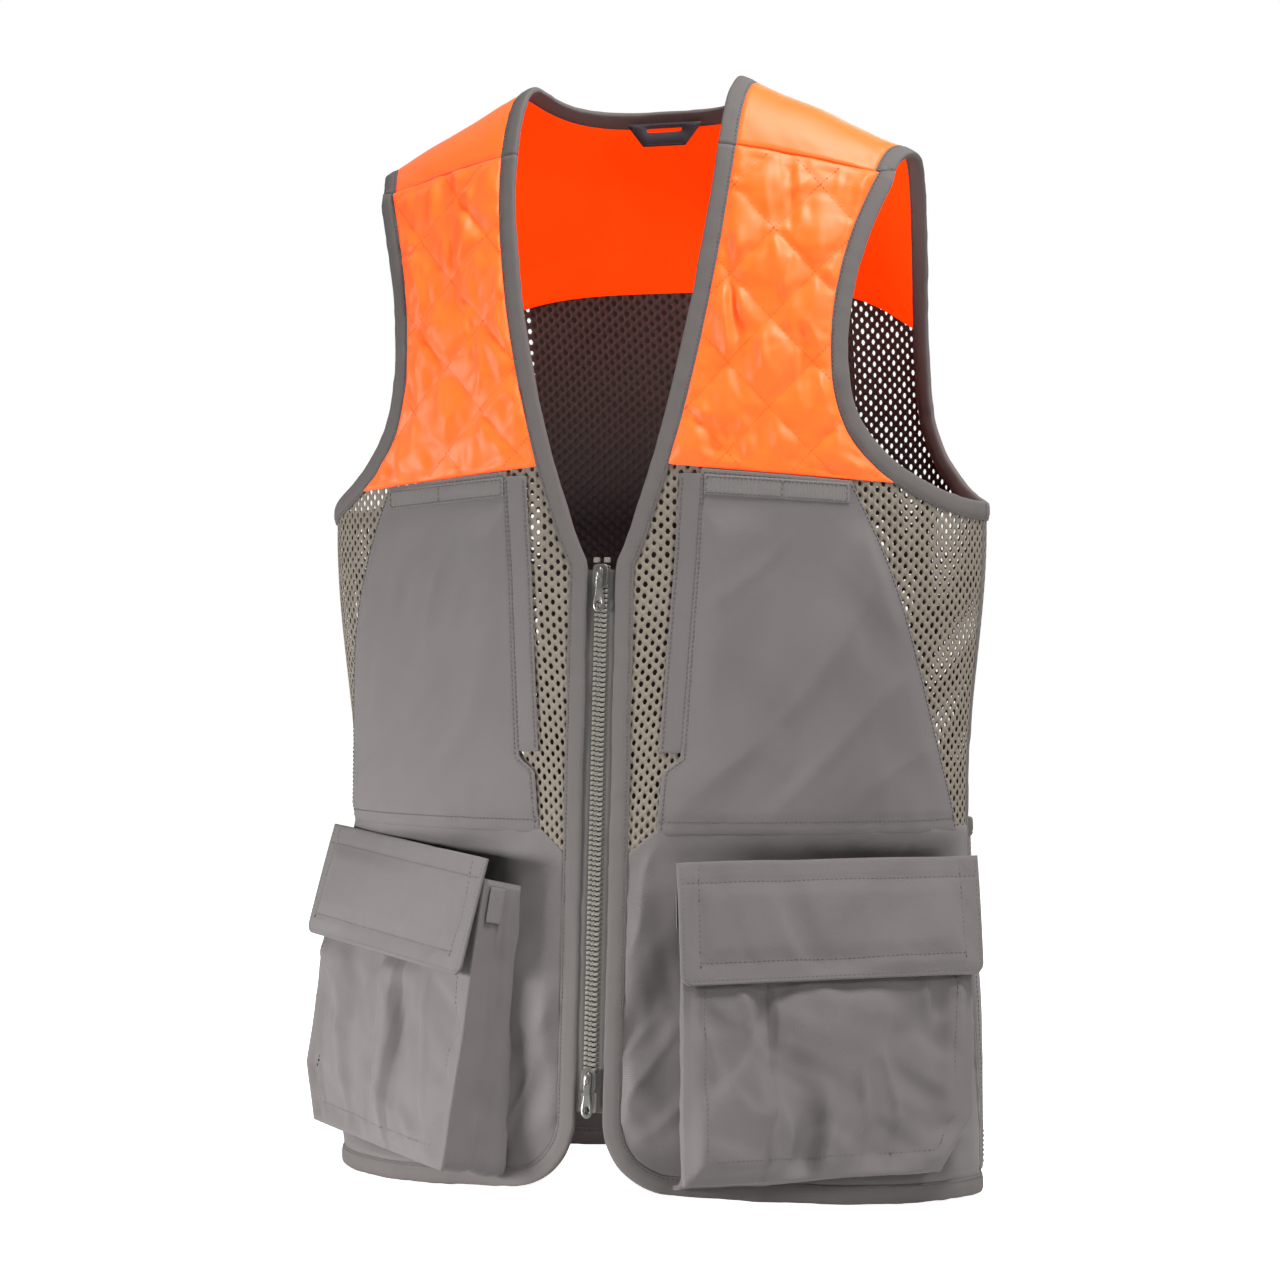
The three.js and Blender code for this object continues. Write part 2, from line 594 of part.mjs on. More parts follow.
// A hanging pull with a window at the top and a ring at the end.
function pull(topZ) {
  const { width, length, cloth: thick, hole, window } = PULL;
  const [half, neck] = [width / 2, width / 3];
  const ring = range(8).map((t) => [half * Math.cos(Math.PI * (1 + t)), half - length + half * Math.sin(Math.PI * (1 + t))]);
  const outline = [...ring, [neck, half * 2.4 - length], [neck, 0], [-neck, 0], [-neck, half * 2.4 - length]];
  const ringHole = new THREE.Path().absarc(0, half - length, hole, 0, 2 * Math.PI);
  const [w, h] = window;
  const windowHole = new THREE.Path([[-w, -1.6], [-w, -h], [w, -h], [w, -1.6]].map((p) => new THREE.Vector2(...p)));
  const low = SLIDER.throat + SLIDER.wall + 0.4;
  return onZip(plate(outline, [low, low + thick], [ringHole, windowHole]).translate(0, topZ, 0));
}

// ---------- back ----------

// Mirrors one half of an edge: t runs 0 to 1 from the left side to the right.
const mirrored = (half) => (t) => {
  const [angle, z] = half(t < 0.5 ? t * 2 : 2 - t * 2);
  return [t < 0.5 ? angle : 2 * Math.PI - angle, z];
};

const YOKE_CORNER = armholeShare(YOKE_BACK_Z[1]);
const YOKE_CORNER_X = armholeX(YOKE_BACK_Z[1], false);
const yokeFootZ = (x) => mix(YOKE_BACK_Z[0], YOKE_BACK_Z[1], clamp(Math.abs(x) / YOKE_CORNER_X) ** 2);

// Top edge of the back mesh: up the armhole and along under the yoke.
const backMeshTop = mirrored((t) => {
  const turn = 0.5;
  if (t < turn) {
    const [angle, z] = armhole(YOKE_CORNER * (t / turn), false);
    return [Math.max(angle + (0.008 * t) / turn, sideAngle(z, false)), z - (GAP * t) / turn];
  }
  const share = (t - turn) / (1 - turn);
  const angle = mix(armhole(YOKE_CORNER, false)[0], Math.PI, share);
  return [angle, yokeFootZ(body(angle, YOKE_BACK_Z[1]).x) - GAP];
});

const backEdge = (z) => mirrored((t) => [mix(sideAngle(z, false), Math.PI, t), z]);

const spanBetween = (foot, top) => (u, v) => {
  const [a, b] = [foot(u), top(u)];
  return body(mix(a[0], b[0], v), mix(a[1], b[1], v));
};

// The neck edge of the yoke as [x, turn], from its front seam over the shoulder to the back centre.
function yokeInner(t) {
  const x = NECK_X;
  const front = turnAt(x, yokeSeamZ(x), true);
  if (t < 0.25) return [mix(x, NECK_HALF_WIDTH, t * 4), mix(front, 0, t * 4)];
  const turn = (RIGHT_ANGLE * (t - 0.25)) / 0.75;
  return [NECK_HALF_WIDTH * Math.cos(turn), turnAt(0, BACK_NECK_Z, false) * Math.sin(turn) ** 0.8];
}

// Its outer edge: along the armhole over the shoulder, then along the seam with the back mesh.
function yokeOuter(t) {
  const x = ARM_X;
  const front = turnAt(x, yokeSeamZ(x), true);
  if (t < 0.25) return [mix(x, SHOULDER_HALF_WIDTH, t * 4), mix(front, 0, t * 4)];
  if (t < 0.6) {
    const [angle, z] = armhole(mix(1, YOKE_CORNER, (t - 0.25) / 0.35), false);
    const p = body(angle, z);
    return [p.x, turnAt(p.x, z, false)];
  }
  const across = YOKE_CORNER_X * (1 - (t - 0.6) / 0.4);
  return [across, turnAt(across, yokeFootZ(across), false)];
}

const yokeEdge = (edge) => (u) => {
  const [x, turn] = edge(u < 0.5 ? u * 2 : 2 - u * 2);
  return [u < 0.5 ? x : -x, turn];
};

function yokePlace(u, v) {
  const [inner, outer] = [yokeEdge(yokeInner)(u), yokeEdge(yokeOuter)(u)];
  return shoulder(mix(inner[0], outer[0], v), mix(inner[1], outer[1], v));
}

const pouchPlace = spanBetween(...POUCH.z.map((z) => mirrored((t) => [mix(...POUCH.angles.map(radians), t), z])));
const pouchLift = (extra) => (u, v) => {
  const fullness = Math.sin(Math.PI * u) ** 0.7 * Math.sin(Math.PI * clamp(v * 0.93 + 0.02)) ** 0.7;
  return POUCH.lift + POUCH.bulge * fullness + extra;
};

function backArmholePath(t) {
  if (t < 0.8) return body(...armhole(0.004 + (0.996 * t) / 0.8, false));
  return shoulder(...yokeOuter(0.25 * (1 - (t - 0.8) / 0.2)));
}

function backPieces() {
  const lower = spanBetween(backEdge(HEM_Z), backEdge(WAIST_SEAM_Z - GAP));
  const meshed = spanBetween(backEdge(WAIST_SEAM_Z), backMeshTop);
  const neck = (t) => shoulder(...yokeEdge(yokeInner)(t));
  const hem = (t) => body(...backEdge(HEM_Z)(t));
  const pouchTop = (t) => pouchPlace(t, 1);
  const topLift = POUCH.lift - 0.6;
  return [
    mesh("back_yoke", sheet(yokePlace, 48, 8, PADDED), BLAZE),
    mesh("back_mesh", sheet(meshed, 48, 10, CLOTH), MESH),
    mesh("back_lower_panel", sheet(lower, 36, 6, CLOTH), GREY),
    mesh("game_pouch", sheet(pouchPlace, 28, 12, [pouchLift(0), pouchLift(POUCH.cloth)]), GREY),
    mesh("game_pouch_binding", binding(pouchTop, (t) => pouchTop(t).setZ(0), 28, [topLift, topLift + 2.6]), EDGE),
    mesh("back_neck_binding", binding(neck, (t) => yokePlace(t, 0.3), 48), EDGE),
    mesh("back_hem_binding", binding(hem, (t) => hem(t).setZ(90), 40, EDGING, true), EDGE),
  ];
}

// The left back armhole binding; the right one mirrors it.
function armholeBinding() {
  const inside = (t) => backArmholePath(t).add(V(-60, 0, t < 0.4 ? -60 : -10));
  return binding(backArmholePath, inside, 40);
}

function hangerLabel() {
  const { top, foot, height, slot, cloth: thick } = LABEL_SIZE;
  const outline = [[-foot / 2, -height], [foot / 2, -height], [top / 2, 0], [-top / 2, 0]];
  const [w, h] = [slot[0] / 2, slot[1]];
  const opening = new THREE.Path([[-w, -2], [-w, -2 - h], [w, -2 - h], [w, -2]].map((p) => new THREE.Vector2(...p)));
  const made = plate(outline, [0, thick], [opening]).rotateX(RIGHT_ANGLE).translate(...LABEL_AT);
  return mesh("hanger_label", made, LABEL);
}

// ---------- assembly ----------

function group(name, children) {
  const made = new THREE.Group();
  made.name = name;
  return made.add(...children);
}

function half(side, teethShift) {
  const pieces = [...bodyPieces(), ...pocketPieces(), ...zipPieces(teethShift)];
  const named = (list) => list.map((piece) => Object.assign(piece, { name: `${side}_${piece.name}` }));
  const made = group(`${side}_half`, [
    group(`${side}_front`, named(pieces)),
    group(`${side}_pocket_flap`, named(flapPieces())),
    mesh(`${side}_back_armhole_binding`, armholeBinding(), EDGE),
  ]);
  if (side === "right") made.scale.x = -1;
  return made;
}

const pullTop = SLIDER.height - 3;
const garment = group("garment", [
  half("left", 0),
  half("right", TOOTH.pitch / 2),
  group("back", [...backPieces(), hangerLabel()]),
  group("zip_sliders", [
    mesh("upper_slider", slider(true), METAL),
    mesh("upper_slider_pull", pull(onZipY(UPPER_SLIDER_Z) + pullTop), METAL),
    mesh("lower_slider", slider(false), METAL),
    mesh("lower_slider_pull", pull(onZipY(LOWER_SLIDER_Z) + pullTop), METAL),
  ]),
]);
garment.position.y = SET_BACK;

export default group("shooting_vest", [garment]);
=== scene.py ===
"""The vest's visible cloth over the CAD frame: quilting, open mesh, stitches, zip and pockets."""
import math

import bpy
import numpy as np
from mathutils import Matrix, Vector

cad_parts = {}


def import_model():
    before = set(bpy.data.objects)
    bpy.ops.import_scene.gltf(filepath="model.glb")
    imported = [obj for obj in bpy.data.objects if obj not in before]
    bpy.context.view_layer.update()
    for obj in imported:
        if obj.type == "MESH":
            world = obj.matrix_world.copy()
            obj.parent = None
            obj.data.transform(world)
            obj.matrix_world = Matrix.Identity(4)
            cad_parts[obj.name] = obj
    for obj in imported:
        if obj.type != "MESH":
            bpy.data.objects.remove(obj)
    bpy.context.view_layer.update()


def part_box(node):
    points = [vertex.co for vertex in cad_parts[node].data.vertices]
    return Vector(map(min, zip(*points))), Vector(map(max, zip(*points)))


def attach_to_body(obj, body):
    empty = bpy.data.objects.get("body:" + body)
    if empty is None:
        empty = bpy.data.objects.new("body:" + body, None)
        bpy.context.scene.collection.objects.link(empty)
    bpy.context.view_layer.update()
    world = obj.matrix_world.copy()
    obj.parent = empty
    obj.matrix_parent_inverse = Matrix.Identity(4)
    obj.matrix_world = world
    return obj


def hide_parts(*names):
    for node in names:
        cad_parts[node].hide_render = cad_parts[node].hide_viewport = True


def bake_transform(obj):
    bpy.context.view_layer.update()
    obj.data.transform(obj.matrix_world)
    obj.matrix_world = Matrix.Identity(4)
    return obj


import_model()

MM = 0.001

# ---------------------------------------------------------------- the body form
# Every length below is in millimetres until a mesh is made. y is 0 at the side seams.
SET_BACK = 20.1
DOME_Z, WAIST_Z = 415, 255
HALF_WIDTH = (216, 206, 214)          # chest, waist, hem
BACK_DEPTH = (105, 96, 110)
FRONT_DEPTH, FRONT_FLARE = 108, 0.075
CHEST_ROUNDNESS, HEM_ROUNDNESS = 2.2, 1.7
FRONT_CROWN, BACK_CROWN = 2.0, 2.4
RIDGE_Z, RIDGE_SLOPE, RIDGE_ROUND = 698, 0.5, 40
NECK_HALF_WIDTH, SHOULDER_HALF_WIDTH, SHOULDER_LEAN = 78, 169, 30
PRESS_DEPTH, PRESS_ANGLES, PRESS_Z = 14, (20, 84), (16, 34, 204, 232)
POCKET_TURN = math.radians(38)
ZIP_TOP_Z = 393
FRONT_EDGE_X = 20
HEM_Z, CORNER_RADIUS, HEM_RISE = 11.2, 30, 16
UNDERARM_Z = 423
SIDE_GAP = 0.02
ARMHOLE_ROUND, ARMHOLE_BEND, ARMHOLE_IN = 2.6, 0.45, (38, 45)
YOKE_DROP, YOKE_SEAM_Z, YOKE_BACK_Z, BACK_NECK_Z = (46, 24), (652, 630), (582, 550), 686
PATCH_Z, WAIST_SEAM_Z, MESH_TIP_Z, MESH_TIP_X = (455, 443), 231, 216, 38
CHEST_INNER = np.array([[38, 234], [41, 266], [52, 274], [63, 442]], float)
CHEST_TOP_Z, CHEST_TOP_RISE, CHEST_TOP_X, CHEST_FOOT_ANGLE = 444, 8, 151, math.radians(80)
POCKET_GIRTH, POCKET_WIDTH, POCKET_Z, POCKET_DEPTH = 54, 192, (25, 200), (32, 9)
PATCH_SIZE, LOWER_SIZE, CHEST_SIZE = (118, 192), (250, 212), (172, 212)
YOKE_SIZE, POUCH_SIZE = (640, 112), (420, 211)
QUARTER = math.pi / 2

ALONG = np.array([math.cos(POCKET_TURN), math.sin(POCKET_TURN), 0])
FACING = np.array([ALONG[1], -ALONG[0], 0])


def mix(a, b, t):
    return a + (b - a) * t


def smooth(t):
    t = np.clip(t, 0, 1)
    return t * t * (3 - 2 * t)


def by_height(values, z):
    chest, waist, hem = values
    upper = mix(waist, chest, smooth((z - WAIST_Z) / (DOME_Z - WAIST_Z)))
    return np.where(z > WAIST_Z, upper, mix(waist, hem, smooth((WAIST_Z - z) / WAIST_Z)))


def half_width(z):
    return by_height(HALF_WIDTH, z)


def front_depth(z):
    return FRONT_DEPTH + FRONT_FLARE * np.maximum(0, ZIP_TOP_Z - z)


def back_depth(z):
    return by_height(BACK_DEPTH, z)


def roundness(z):
    return mix(HEM_ROUNDNESS, CHEST_ROUNDNESS, smooth((z - 200) / (DOME_Z - 200)))


def ridge(x):
    run = np.hypot(x, RIDGE_ROUND) - math.hypot(NECK_HALF_WIDTH, RIDGE_ROUND)
    return RIDGE_Z - RIDGE_SLOPE * run


def lean(z):
    return SHOULDER_LEAN * np.maximum(0, (z - DOME_Z) / (RIDGE_Z - DOME_Z)) ** 2


def angle_at(x, z):
    return np.arcsin(np.minimum(1, (np.abs(x) / half_width(z)) ** (roundness(z) / 2)))


def side_angle(z, front=True):
    depth = front_depth(z) if front else back_depth(z)
    off = np.arcsin((SIDE_GAP / depth) ** (roundness(z) / 2))
    return QUARTER + (-off if front else off)


def press(angle, z):
    start, end = np.radians(PRESS_ANGLES)
    across = np.sin(math.pi * np.clip((np.abs(angle) - start) / (end - start), 0, 1)) ** 1.5
    foot, low, high, top = PRESS_Z
    return PRESS_DEPTH * across * smooth((z - foot) / (low - foot)) * smooth((top - z) / (top - high))


def body(angle, z):
    """Points of the body form at plan angles (0 front, pi back) and heights."""
    angle, z = np.broadcast_arrays(np.asarray(angle, float), np.asarray(z, float))
    power = 2 / roundness(z)
    x = half_width(z) * np.sign(np.sin(angle)) * np.abs(np.sin(angle)) ** power
    front = np.cos(angle) > 0
    depth = np.where(front, front_depth(z), back_depth(z)) * np.abs(np.cos(angle)) ** power
    crown = np.where(front, FRONT_CROWN, BACK_CROWN)
    rise = np.clip((z - DOME_Z) / (ridge(x) - DOME_Z), 0, 1)
    depth = depth * (1 - rise ** crown) ** (1 / crown)
    p = np.stack([x, np.where(front, -depth, depth) - lean(z), z], -1)
    pressed = np.where(front, press(angle, z), 0)
    sided = np.stack([FACING[0] * np.sign(x), FACING[1] * np.ones_like(x), 0 * x], -1)
    return p - sided * pressed[..., None]


def shoulder(x, turn):
    """Points over the shoulder: turn is -pi/2 at the front of the chest and 0 on the shoulder line."""
    x, turn = np.broadcast_arrays(np.asarray(x, float), np.asarray(turn, float))
    crown = np.where(turn < 0, FRONT_CROWN, BACK_CROWN)
    depth = np.where(turn < 0, FRONT_DEPTH, BACK_DEPTH[0])
    plan = (1 - (np.abs(x) / HALF_WIDTH[0]) ** CHEST_ROUNDNESS) ** (1 / CHEST_ROUNDNESS)
    z = DOME_Z + (ridge(x) - DOME_Z) * np.cos(turn) ** (2 / crown)
    y = np.sign(turn) * depth * plan * np.abs(np.sin(turn)) ** (2 / crown) - lean(z)
    return np.stack([x, y, z], -1)


def turn_at(x, z, front):
    crown = FRONT_CROWN if front else BACK_CROWN
    turn = np.arccos(np.clip((z - DOME_Z) / (ridge(x) - DOME_Z), 0, 1) ** (crown / 2))
    return -turn if front else turn


def outside(p):
    """How far points are outside the body form, as a level set."""
    x, z = p[..., 0], p[..., 2]
    y = p[..., 1] + lean(z)
    front = y < 0
    crown = np.where(front, FRONT_CROWN, BACK_CROWN)
    depth = np.where(front, front_depth(z), back_depth(z))
    n = roundness(z)
    across = (np.abs(x) / half_width(z)) ** n
    rise = np.maximum(0, (z - DOME_Z) / (ridge(x) - DOME_Z))
    plan = np.maximum(1e-3, 1 - across) ** (1 / n)
    high = (np.abs(y) / (depth * plan)) ** crown + rise ** crown - 1
    closed = np.maximum(1e-4, 1 - np.minimum(rise, 0.6) ** crown) ** (1 / crown)
    low = across + (np.abs(y) / (depth * closed)) ** n - 1
    return np.where(rise > 0.5, high, low)


def normal_at(p):
    step = 0.05
    slopes = [outside(p + step * e) - outside(p - step * e) for e in np.eye(3)]
    n = np.stack(slopes, -1)
    return n / np.linalg.norm(n, axis=-1, keepdims=True)


# ---------------------------------------------------------------- noise
def hashed(ix, iy, seed):
    h = np.sin(ix * 127.1 + iy * 311.7 + seed * 74.7) * 43758.5453
    return (h - np.floor(h)) * 2 - 1


def noise(x, y, seed=0):
    """Smooth value noise between -1 and 1."""
    x, y = np.broadcast_arrays(np.asarray(x, float), np.asarray(y, float))
    ix, iy = np.floor(x), np.floor(y)
    fx, fy = x - ix, y - iy
    fx, fy = fx ** 3 * (fx * (fx * 6 - 15) + 10), fy ** 3 * (fy * (fy * 6 - 15) + 10)
    a, b = hashed(ix, iy, seed), hashed(ix + 1, iy, seed)
    c, d = hashed(ix, iy + 1, seed), hashed(ix + 1, iy + 1, seed)
    return mix(mix(a, b, fx), mix(c, d, fx), fy)


def noise3(p, scale, seed=0):
    """Smooth value noise of points, with features about scale millimetres apart."""
    q = p / scale
    z = q[..., 2]
    iz = np.floor(z)
    f = z - iz
    f = f * f * (3 - 2 * f)
    shift = 13.7
    low = noise(q[..., 0] + iz * shift, q[..., 1] - iz * shift, seed)
    high = noise(q[..., 0] + (iz + 1) * shift, q[..., 1] - (iz + 1) * shift, seed)
    return mix(low, high, f)


# ---------------------------------------------------------------- edges of the cloth
def front_edge_x(z):
    t = np.clip((z - ZIP_TOP_Z) / (RIDGE_Z - ZIP_TOP_Z), 0, 1)
    return FRONT_EDGE_X + (NECK_HALF_WIDTH - FRONT_EDGE_X) * np.sin(QUARTER * t ** 0.87)


def armhole(t, front):
    """The armhole from the underarm (t = 0) to the shoulder line (t = 1), as (plan angle, height)."""
    t = np.asarray(t, float)
    narrow = math.radians(ARMHOLE_IN[0 if front else 1])
    turn = QUARTER * np.clip(t * 2, 0, 1)
    power = 2 / ARMHOLE_ROUND
    rest = np.clip(t * 2 - 1, 0, 1)
    tip = angle_at(SHOULDER_HALF_WIDTH, DOME_Z)
    share = np.where(t < 0.5, ARMHOLE_BEND * (1 - np.cos(turn) ** power), mix(ARMHOLE_BEND, 1, rest))
    angle = np.where(t < 0.5, mix(QUARTER, narrow, np.sin(turn) ** power), mix(narrow, tip, rest ** 2))
    z = mix(UNDERARM_Z, ridge(SHOULDER_HALF_WIDTH), share)
    return (angle if front else math.pi - angle), z


_T = np.linspace(0, 1, 1200)
_ARM_Z = armhole(_T, True)[1]


def armhole_share(z):
    return np.interp(z, _ARM_Z, _T)


def armhole_x(z, front=True):
    return np.abs(body(armhole(armhole_share(z), front)[0], z)[..., 0])


NECK_X = float(front_edge_x(YOKE_SEAM_Z[0]))
ARM_X = float(armhole_x(YOKE_SEAM_Z[1]))


def yoke_seam_z(x):
    return ridge(x) - mix(YOKE_DROP[0], YOKE_DROP[1], np.clip((x - NECK_X) / (ARM_X - NECK_X), 0, 1))


def from_front_edge(foot, top):
    """place(u, v) for cloth from the front edge, between two edges given as (plan angle, height)."""
    def place(u, v):
        (a0, z0), (a1, z1) = foot(u), top(u)
        z = mix(z0, z1, v)
        straight = mix(foot(0 * u)[0], top(0 * u)[0], v)
        angle = mix(a0, a1, v) + (angle_at(front_edge_x(z), z) - straight) * (1 - u) ** 3
        return body(angle, z)
    return place


def patch_place(u, v):
    top = yoke_seam_z(mix(NECK_X, ARM_X, u))
    z = mix(mix(PATCH_Z[0], PATCH_Z[1], u), top, v)
    x = mix(front_edge_x(z), armhole_x(z), u)
    return body(angle_at(x, z), z)


def hem_edge(u, corner=0.24):
    turn = QUARTER * np.clip(u / corner, 0, 1)
    x = FRONT_EDGE_X + CORNER_RADIUS * (1 - np.cos(turn))
    z = HEM_Z + CORNER_RADIUS * (1 - np.sin(turn))
    angle = mix(angle_at(x, z), side_angle(z), np.clip((u - corner) / (1 - corner), 0, 1))
    return angle, z + HEM_RISE * (1 - angle / QUARTER) ** 2


def waist_seam(u):
    near = np.clip(u * 8, 0, 1)
    x, z = mix(FRONT_EDGE_X, MESH_TIP_X, near), mix(MESH_TIP_Z, WAIST_SEAM_Z, near)
    return mix(angle_at(x, z), side_angle(z), np.clip((u - 1 / 8) / (7 / 8), 0, 1)), z


def chest_inner_x(z):
    return np.interp(z, CHEST_INNER[:, 1], CHEST_INNER[:, 0])


def chest_place(u, v):
    z = mix(WAIST_SEAM_Z - 3, CHEST_TOP_Z + CHEST_TOP_RISE * (1 - u), v)
    inner = angle_at(chest_inner_x(z), z)
    outer = mix(CHEST_FOOT_ANGLE, float(angle_at(CHEST_TOP_X, CHEST_TOP_Z)), v)
    return body(mix(inner, outer, u), z)


YOKE_CORNER = float(armhole_share(YOKE_BACK_Z[1]))
YOKE_CORNER_X = float(armhole_x(YOKE_BACK_Z[1], False))


def yoke_foot_z(x):
    return mix(YOKE_BACK_Z[0], YOKE_BACK_Z[1], np.clip(np.abs(x) / YOKE_CORNER_X, 0, 1) ** 4)


def yoke_inner(t):
    """The neck edge of the yoke as (x, turn), from its front seam over the shoulder to the back centre."""
    t = np.asarray(t, float)
    front = float(turn_at(NECK_X, yoke_seam_z(NECK_X), True))
    turn = QUARTER * np.clip((t - 0.25) / 0.75, 0, 1)
    back = float(turn_at(0, BACK_NECK_Z, False))
    x = np.where(t < 0.25, mix(NECK_X, NECK_HALF_WIDTH, t * 4), NECK_HALF_WIDTH * np.cos(turn))
    return x, np.where(t < 0.25, mix(front, 0, t * 4), back * np.sin(turn) ** 0.8)


def yoke_outer(t):
    """Its outer edge: along the armhole over the shoulder, then along the seam with the back mesh."""
    t = np.asarray(t, float)
    front = float(turn_at(ARM_X, yoke_seam_z(ARM_X), True))
    angle, z = armhole(mix(1, YOKE_CORNER, np.clip((t - 0.25) / 0.35, 0, 1)), False)
    arm_x = body(angle, z)[..., 0]
    across = YOKE_CORNER_X * (1 - np.clip((t - 0.6) / 0.4, 0, 1))
    x = np.where(t < 0.25, mix(ARM_X, SHOULDER_HALF_WIDTH, t * 4), np.where(t < 0.6, arm_x, across))
    turn = np.where(t < 0.6, turn_at(arm_x, z, False), turn_at(across, yoke_foot_z(across), False))
    return x, np.where(t < 0.25, mix(front, 0, t * 4), turn)


def both_sides(edge):
    """An edge from the left front, round the back and on to the right front."""
    def whole(u):
        x, turn = edge(1 - np.abs(2 * u - 1))
        return np.where(u < 0.5, x, -x), turn
    return whole


def yoke_place(u, v):
    (x0, t0), (x1, t1) = both_sides(yoke_inner)(u), both_sides(yoke_outer)(u)
    return shoulder(mix(x0, x1, v), mix(t0, t1, v))


# ---------------------------------------------------------------- how the cloth hangs
def drape(p):
    """How far the whole garment stands off the body form at each point, shared by every layer."""
    z = p[..., 2]
    low = smooth((300 - z) / 200)
    flow = np.stack([p[..., 0], p[..., 1], z * 0.35], -1)
    folds = noise3(flow, 62, 3) * mix(1.0, 2.4, low) + noise3(flow, 31, 8) * mix(0.4, 0.8, low)
    edge = smooth((np.abs(p[..., 0]) - 4) / 30)
    return folds * mix(0.25, 1, edge)


# ---------------------------------------------------------------- meshes
MATERIALS = {}


def cuts(length, step, rim=0.9):
    """Positions from 0 to 1 along a length: a few close to each end for a rounded rim, the rest even."""
    count = max(2, int(round((length - 2 * rim) / step)))
    ends = np.array([0, 0.07, 0.3]) * rim
    middle = np.linspace(rim, length - rim, count + 1)
    return np.concatenate([ends, middle, length - ends[::-1]]) / length


def lengths(points, axis):
    """Distance along a grid's rows or columns, from its first line."""
    steps = np.linalg.norm(np.diff(points, axis=axis), axis=-1)
    start = np.zeros_like(np.take(steps, [0], axis=axis))
    return np.concatenate([start, np.cumsum(steps, axis=axis)], axis=axis)


def along_line(s, run, points):
    """Points read at distances s along a line whose own points lie at distances run."""
    return np.stack([np.interp(s, run, points[:, k]) for k in range(points.shape[1])], -1)


def add_mesh(name, vertices, faces, material, cloth=None):
    """A mesh object from points in millimetres, with cloth coordinates for its weave."""
    mesh = bpy.data.meshes.new(name)
    points = np.asarray(vertices, float).copy()
    points[:, 1] += SET_BACK
    mesh.from_pydata((points * MM).tolist(), [], faces if isinstance(faces, list) else faces.tolist())
    mesh.update()
    mesh.polygons.foreach_set("use_smooth", np.ones(len(mesh.polygons), bool))
    if cloth is None:
        cloth = points[:, [0, 2]]
    attribute = mesh.attributes.new("cloth", "FLOAT_VECTOR", "POINT")
    flat = np.zeros((len(points), 3), np.float32)
    flat[:, :2] = np.asarray(cloth).reshape(-1, 2)
    attribute.data.foreach_set("vector", flat.ravel())
    mesh.materials.append(MATERIALS[material])
    made = bpy.data.objects.new(name, mesh)
    bpy.context.scene.collection.objects.link(made)
    return made


def grid_faces(rows, columns, offset=0, flip=False):
    r, c = np.meshgrid(np.arange(rows - 1), np.arange(columns - 1), indexing="ij")
    a = (r * columns + c).ravel() + offset
    quads = np.stack([a, a + 1, a + columns + 1, a + columns], 1)
    return quads[:, ::-1] if flip else quads


def rim_of(points, rim):
    """How full the thickness is at each point of a grid: nothing on its border, all of it further in."""
    across, up = lengths(points, 1), lengths(points, 0)
    border = np.minimum.reduce([across, across[:, -1:] - across, up, up[-1:] - up])
    return np.sqrt(1 - (1 - np.clip(border / rim, 0, 1)) ** 2)


def shell(name, points, normals, high, low, material, rim=0.9, mirror=1, shift=None):
    """A closed piece of cloth with rounded rims between two heights above a grid of points."""
    rows, columns = points.shape[:2]
    high, low = np.broadcast_to(high, (rows, columns)), np.broadcast_to(low, (rows, columns))
    full = rim_of(points, rim)
    middle, half = (high + low) / 2, (high - low) / 2 * full
    top = points + normals * (middle + half)[..., None]
    if shift is not None:
        top = top + shift * full[..., None]
    foot = points + normals * (middle - half)[..., None]
    across, up = lengths(points, 1), lengths(points, 0)
    cloth = np.stack([across - across[:, -1:] / 2, up], -1)
    index = np.arange(rows * columns).reshape(rows, columns)
    under = index.copy()
    under[1:-1, 1:-1] = np.arange((rows - 2) * (columns - 2)).reshape(rows - 2, columns - 2) + rows * columns
    quads = grid_faces(rows, columns)
    r, c = rows // 2, columns // 2
    facing = np.cross(top[r, c + 1] - top[r, c], top[r + 1, c] - top[r, c]) @ normals[r, c]
    if facing * mirror < 0:
        quads = quads[:, ::-1]
    faces = np.concatenate([quads, under.ravel()[quads][:, ::-1]])
    vertices = np.concatenate([top.reshape(-1, 3), foot[1:-1, 1:-1].reshape(-1, 3)]) * [mirror, 1, 1]
    cloth = np.concatenate([cloth.reshape(-1, 2), cloth[1:-1, 1:-1].reshape(-1, 2)])
    return add_mesh(name, vertices, faces, material, cloth)


def world(points, side):
    return points * np.array([side, 1, 1])


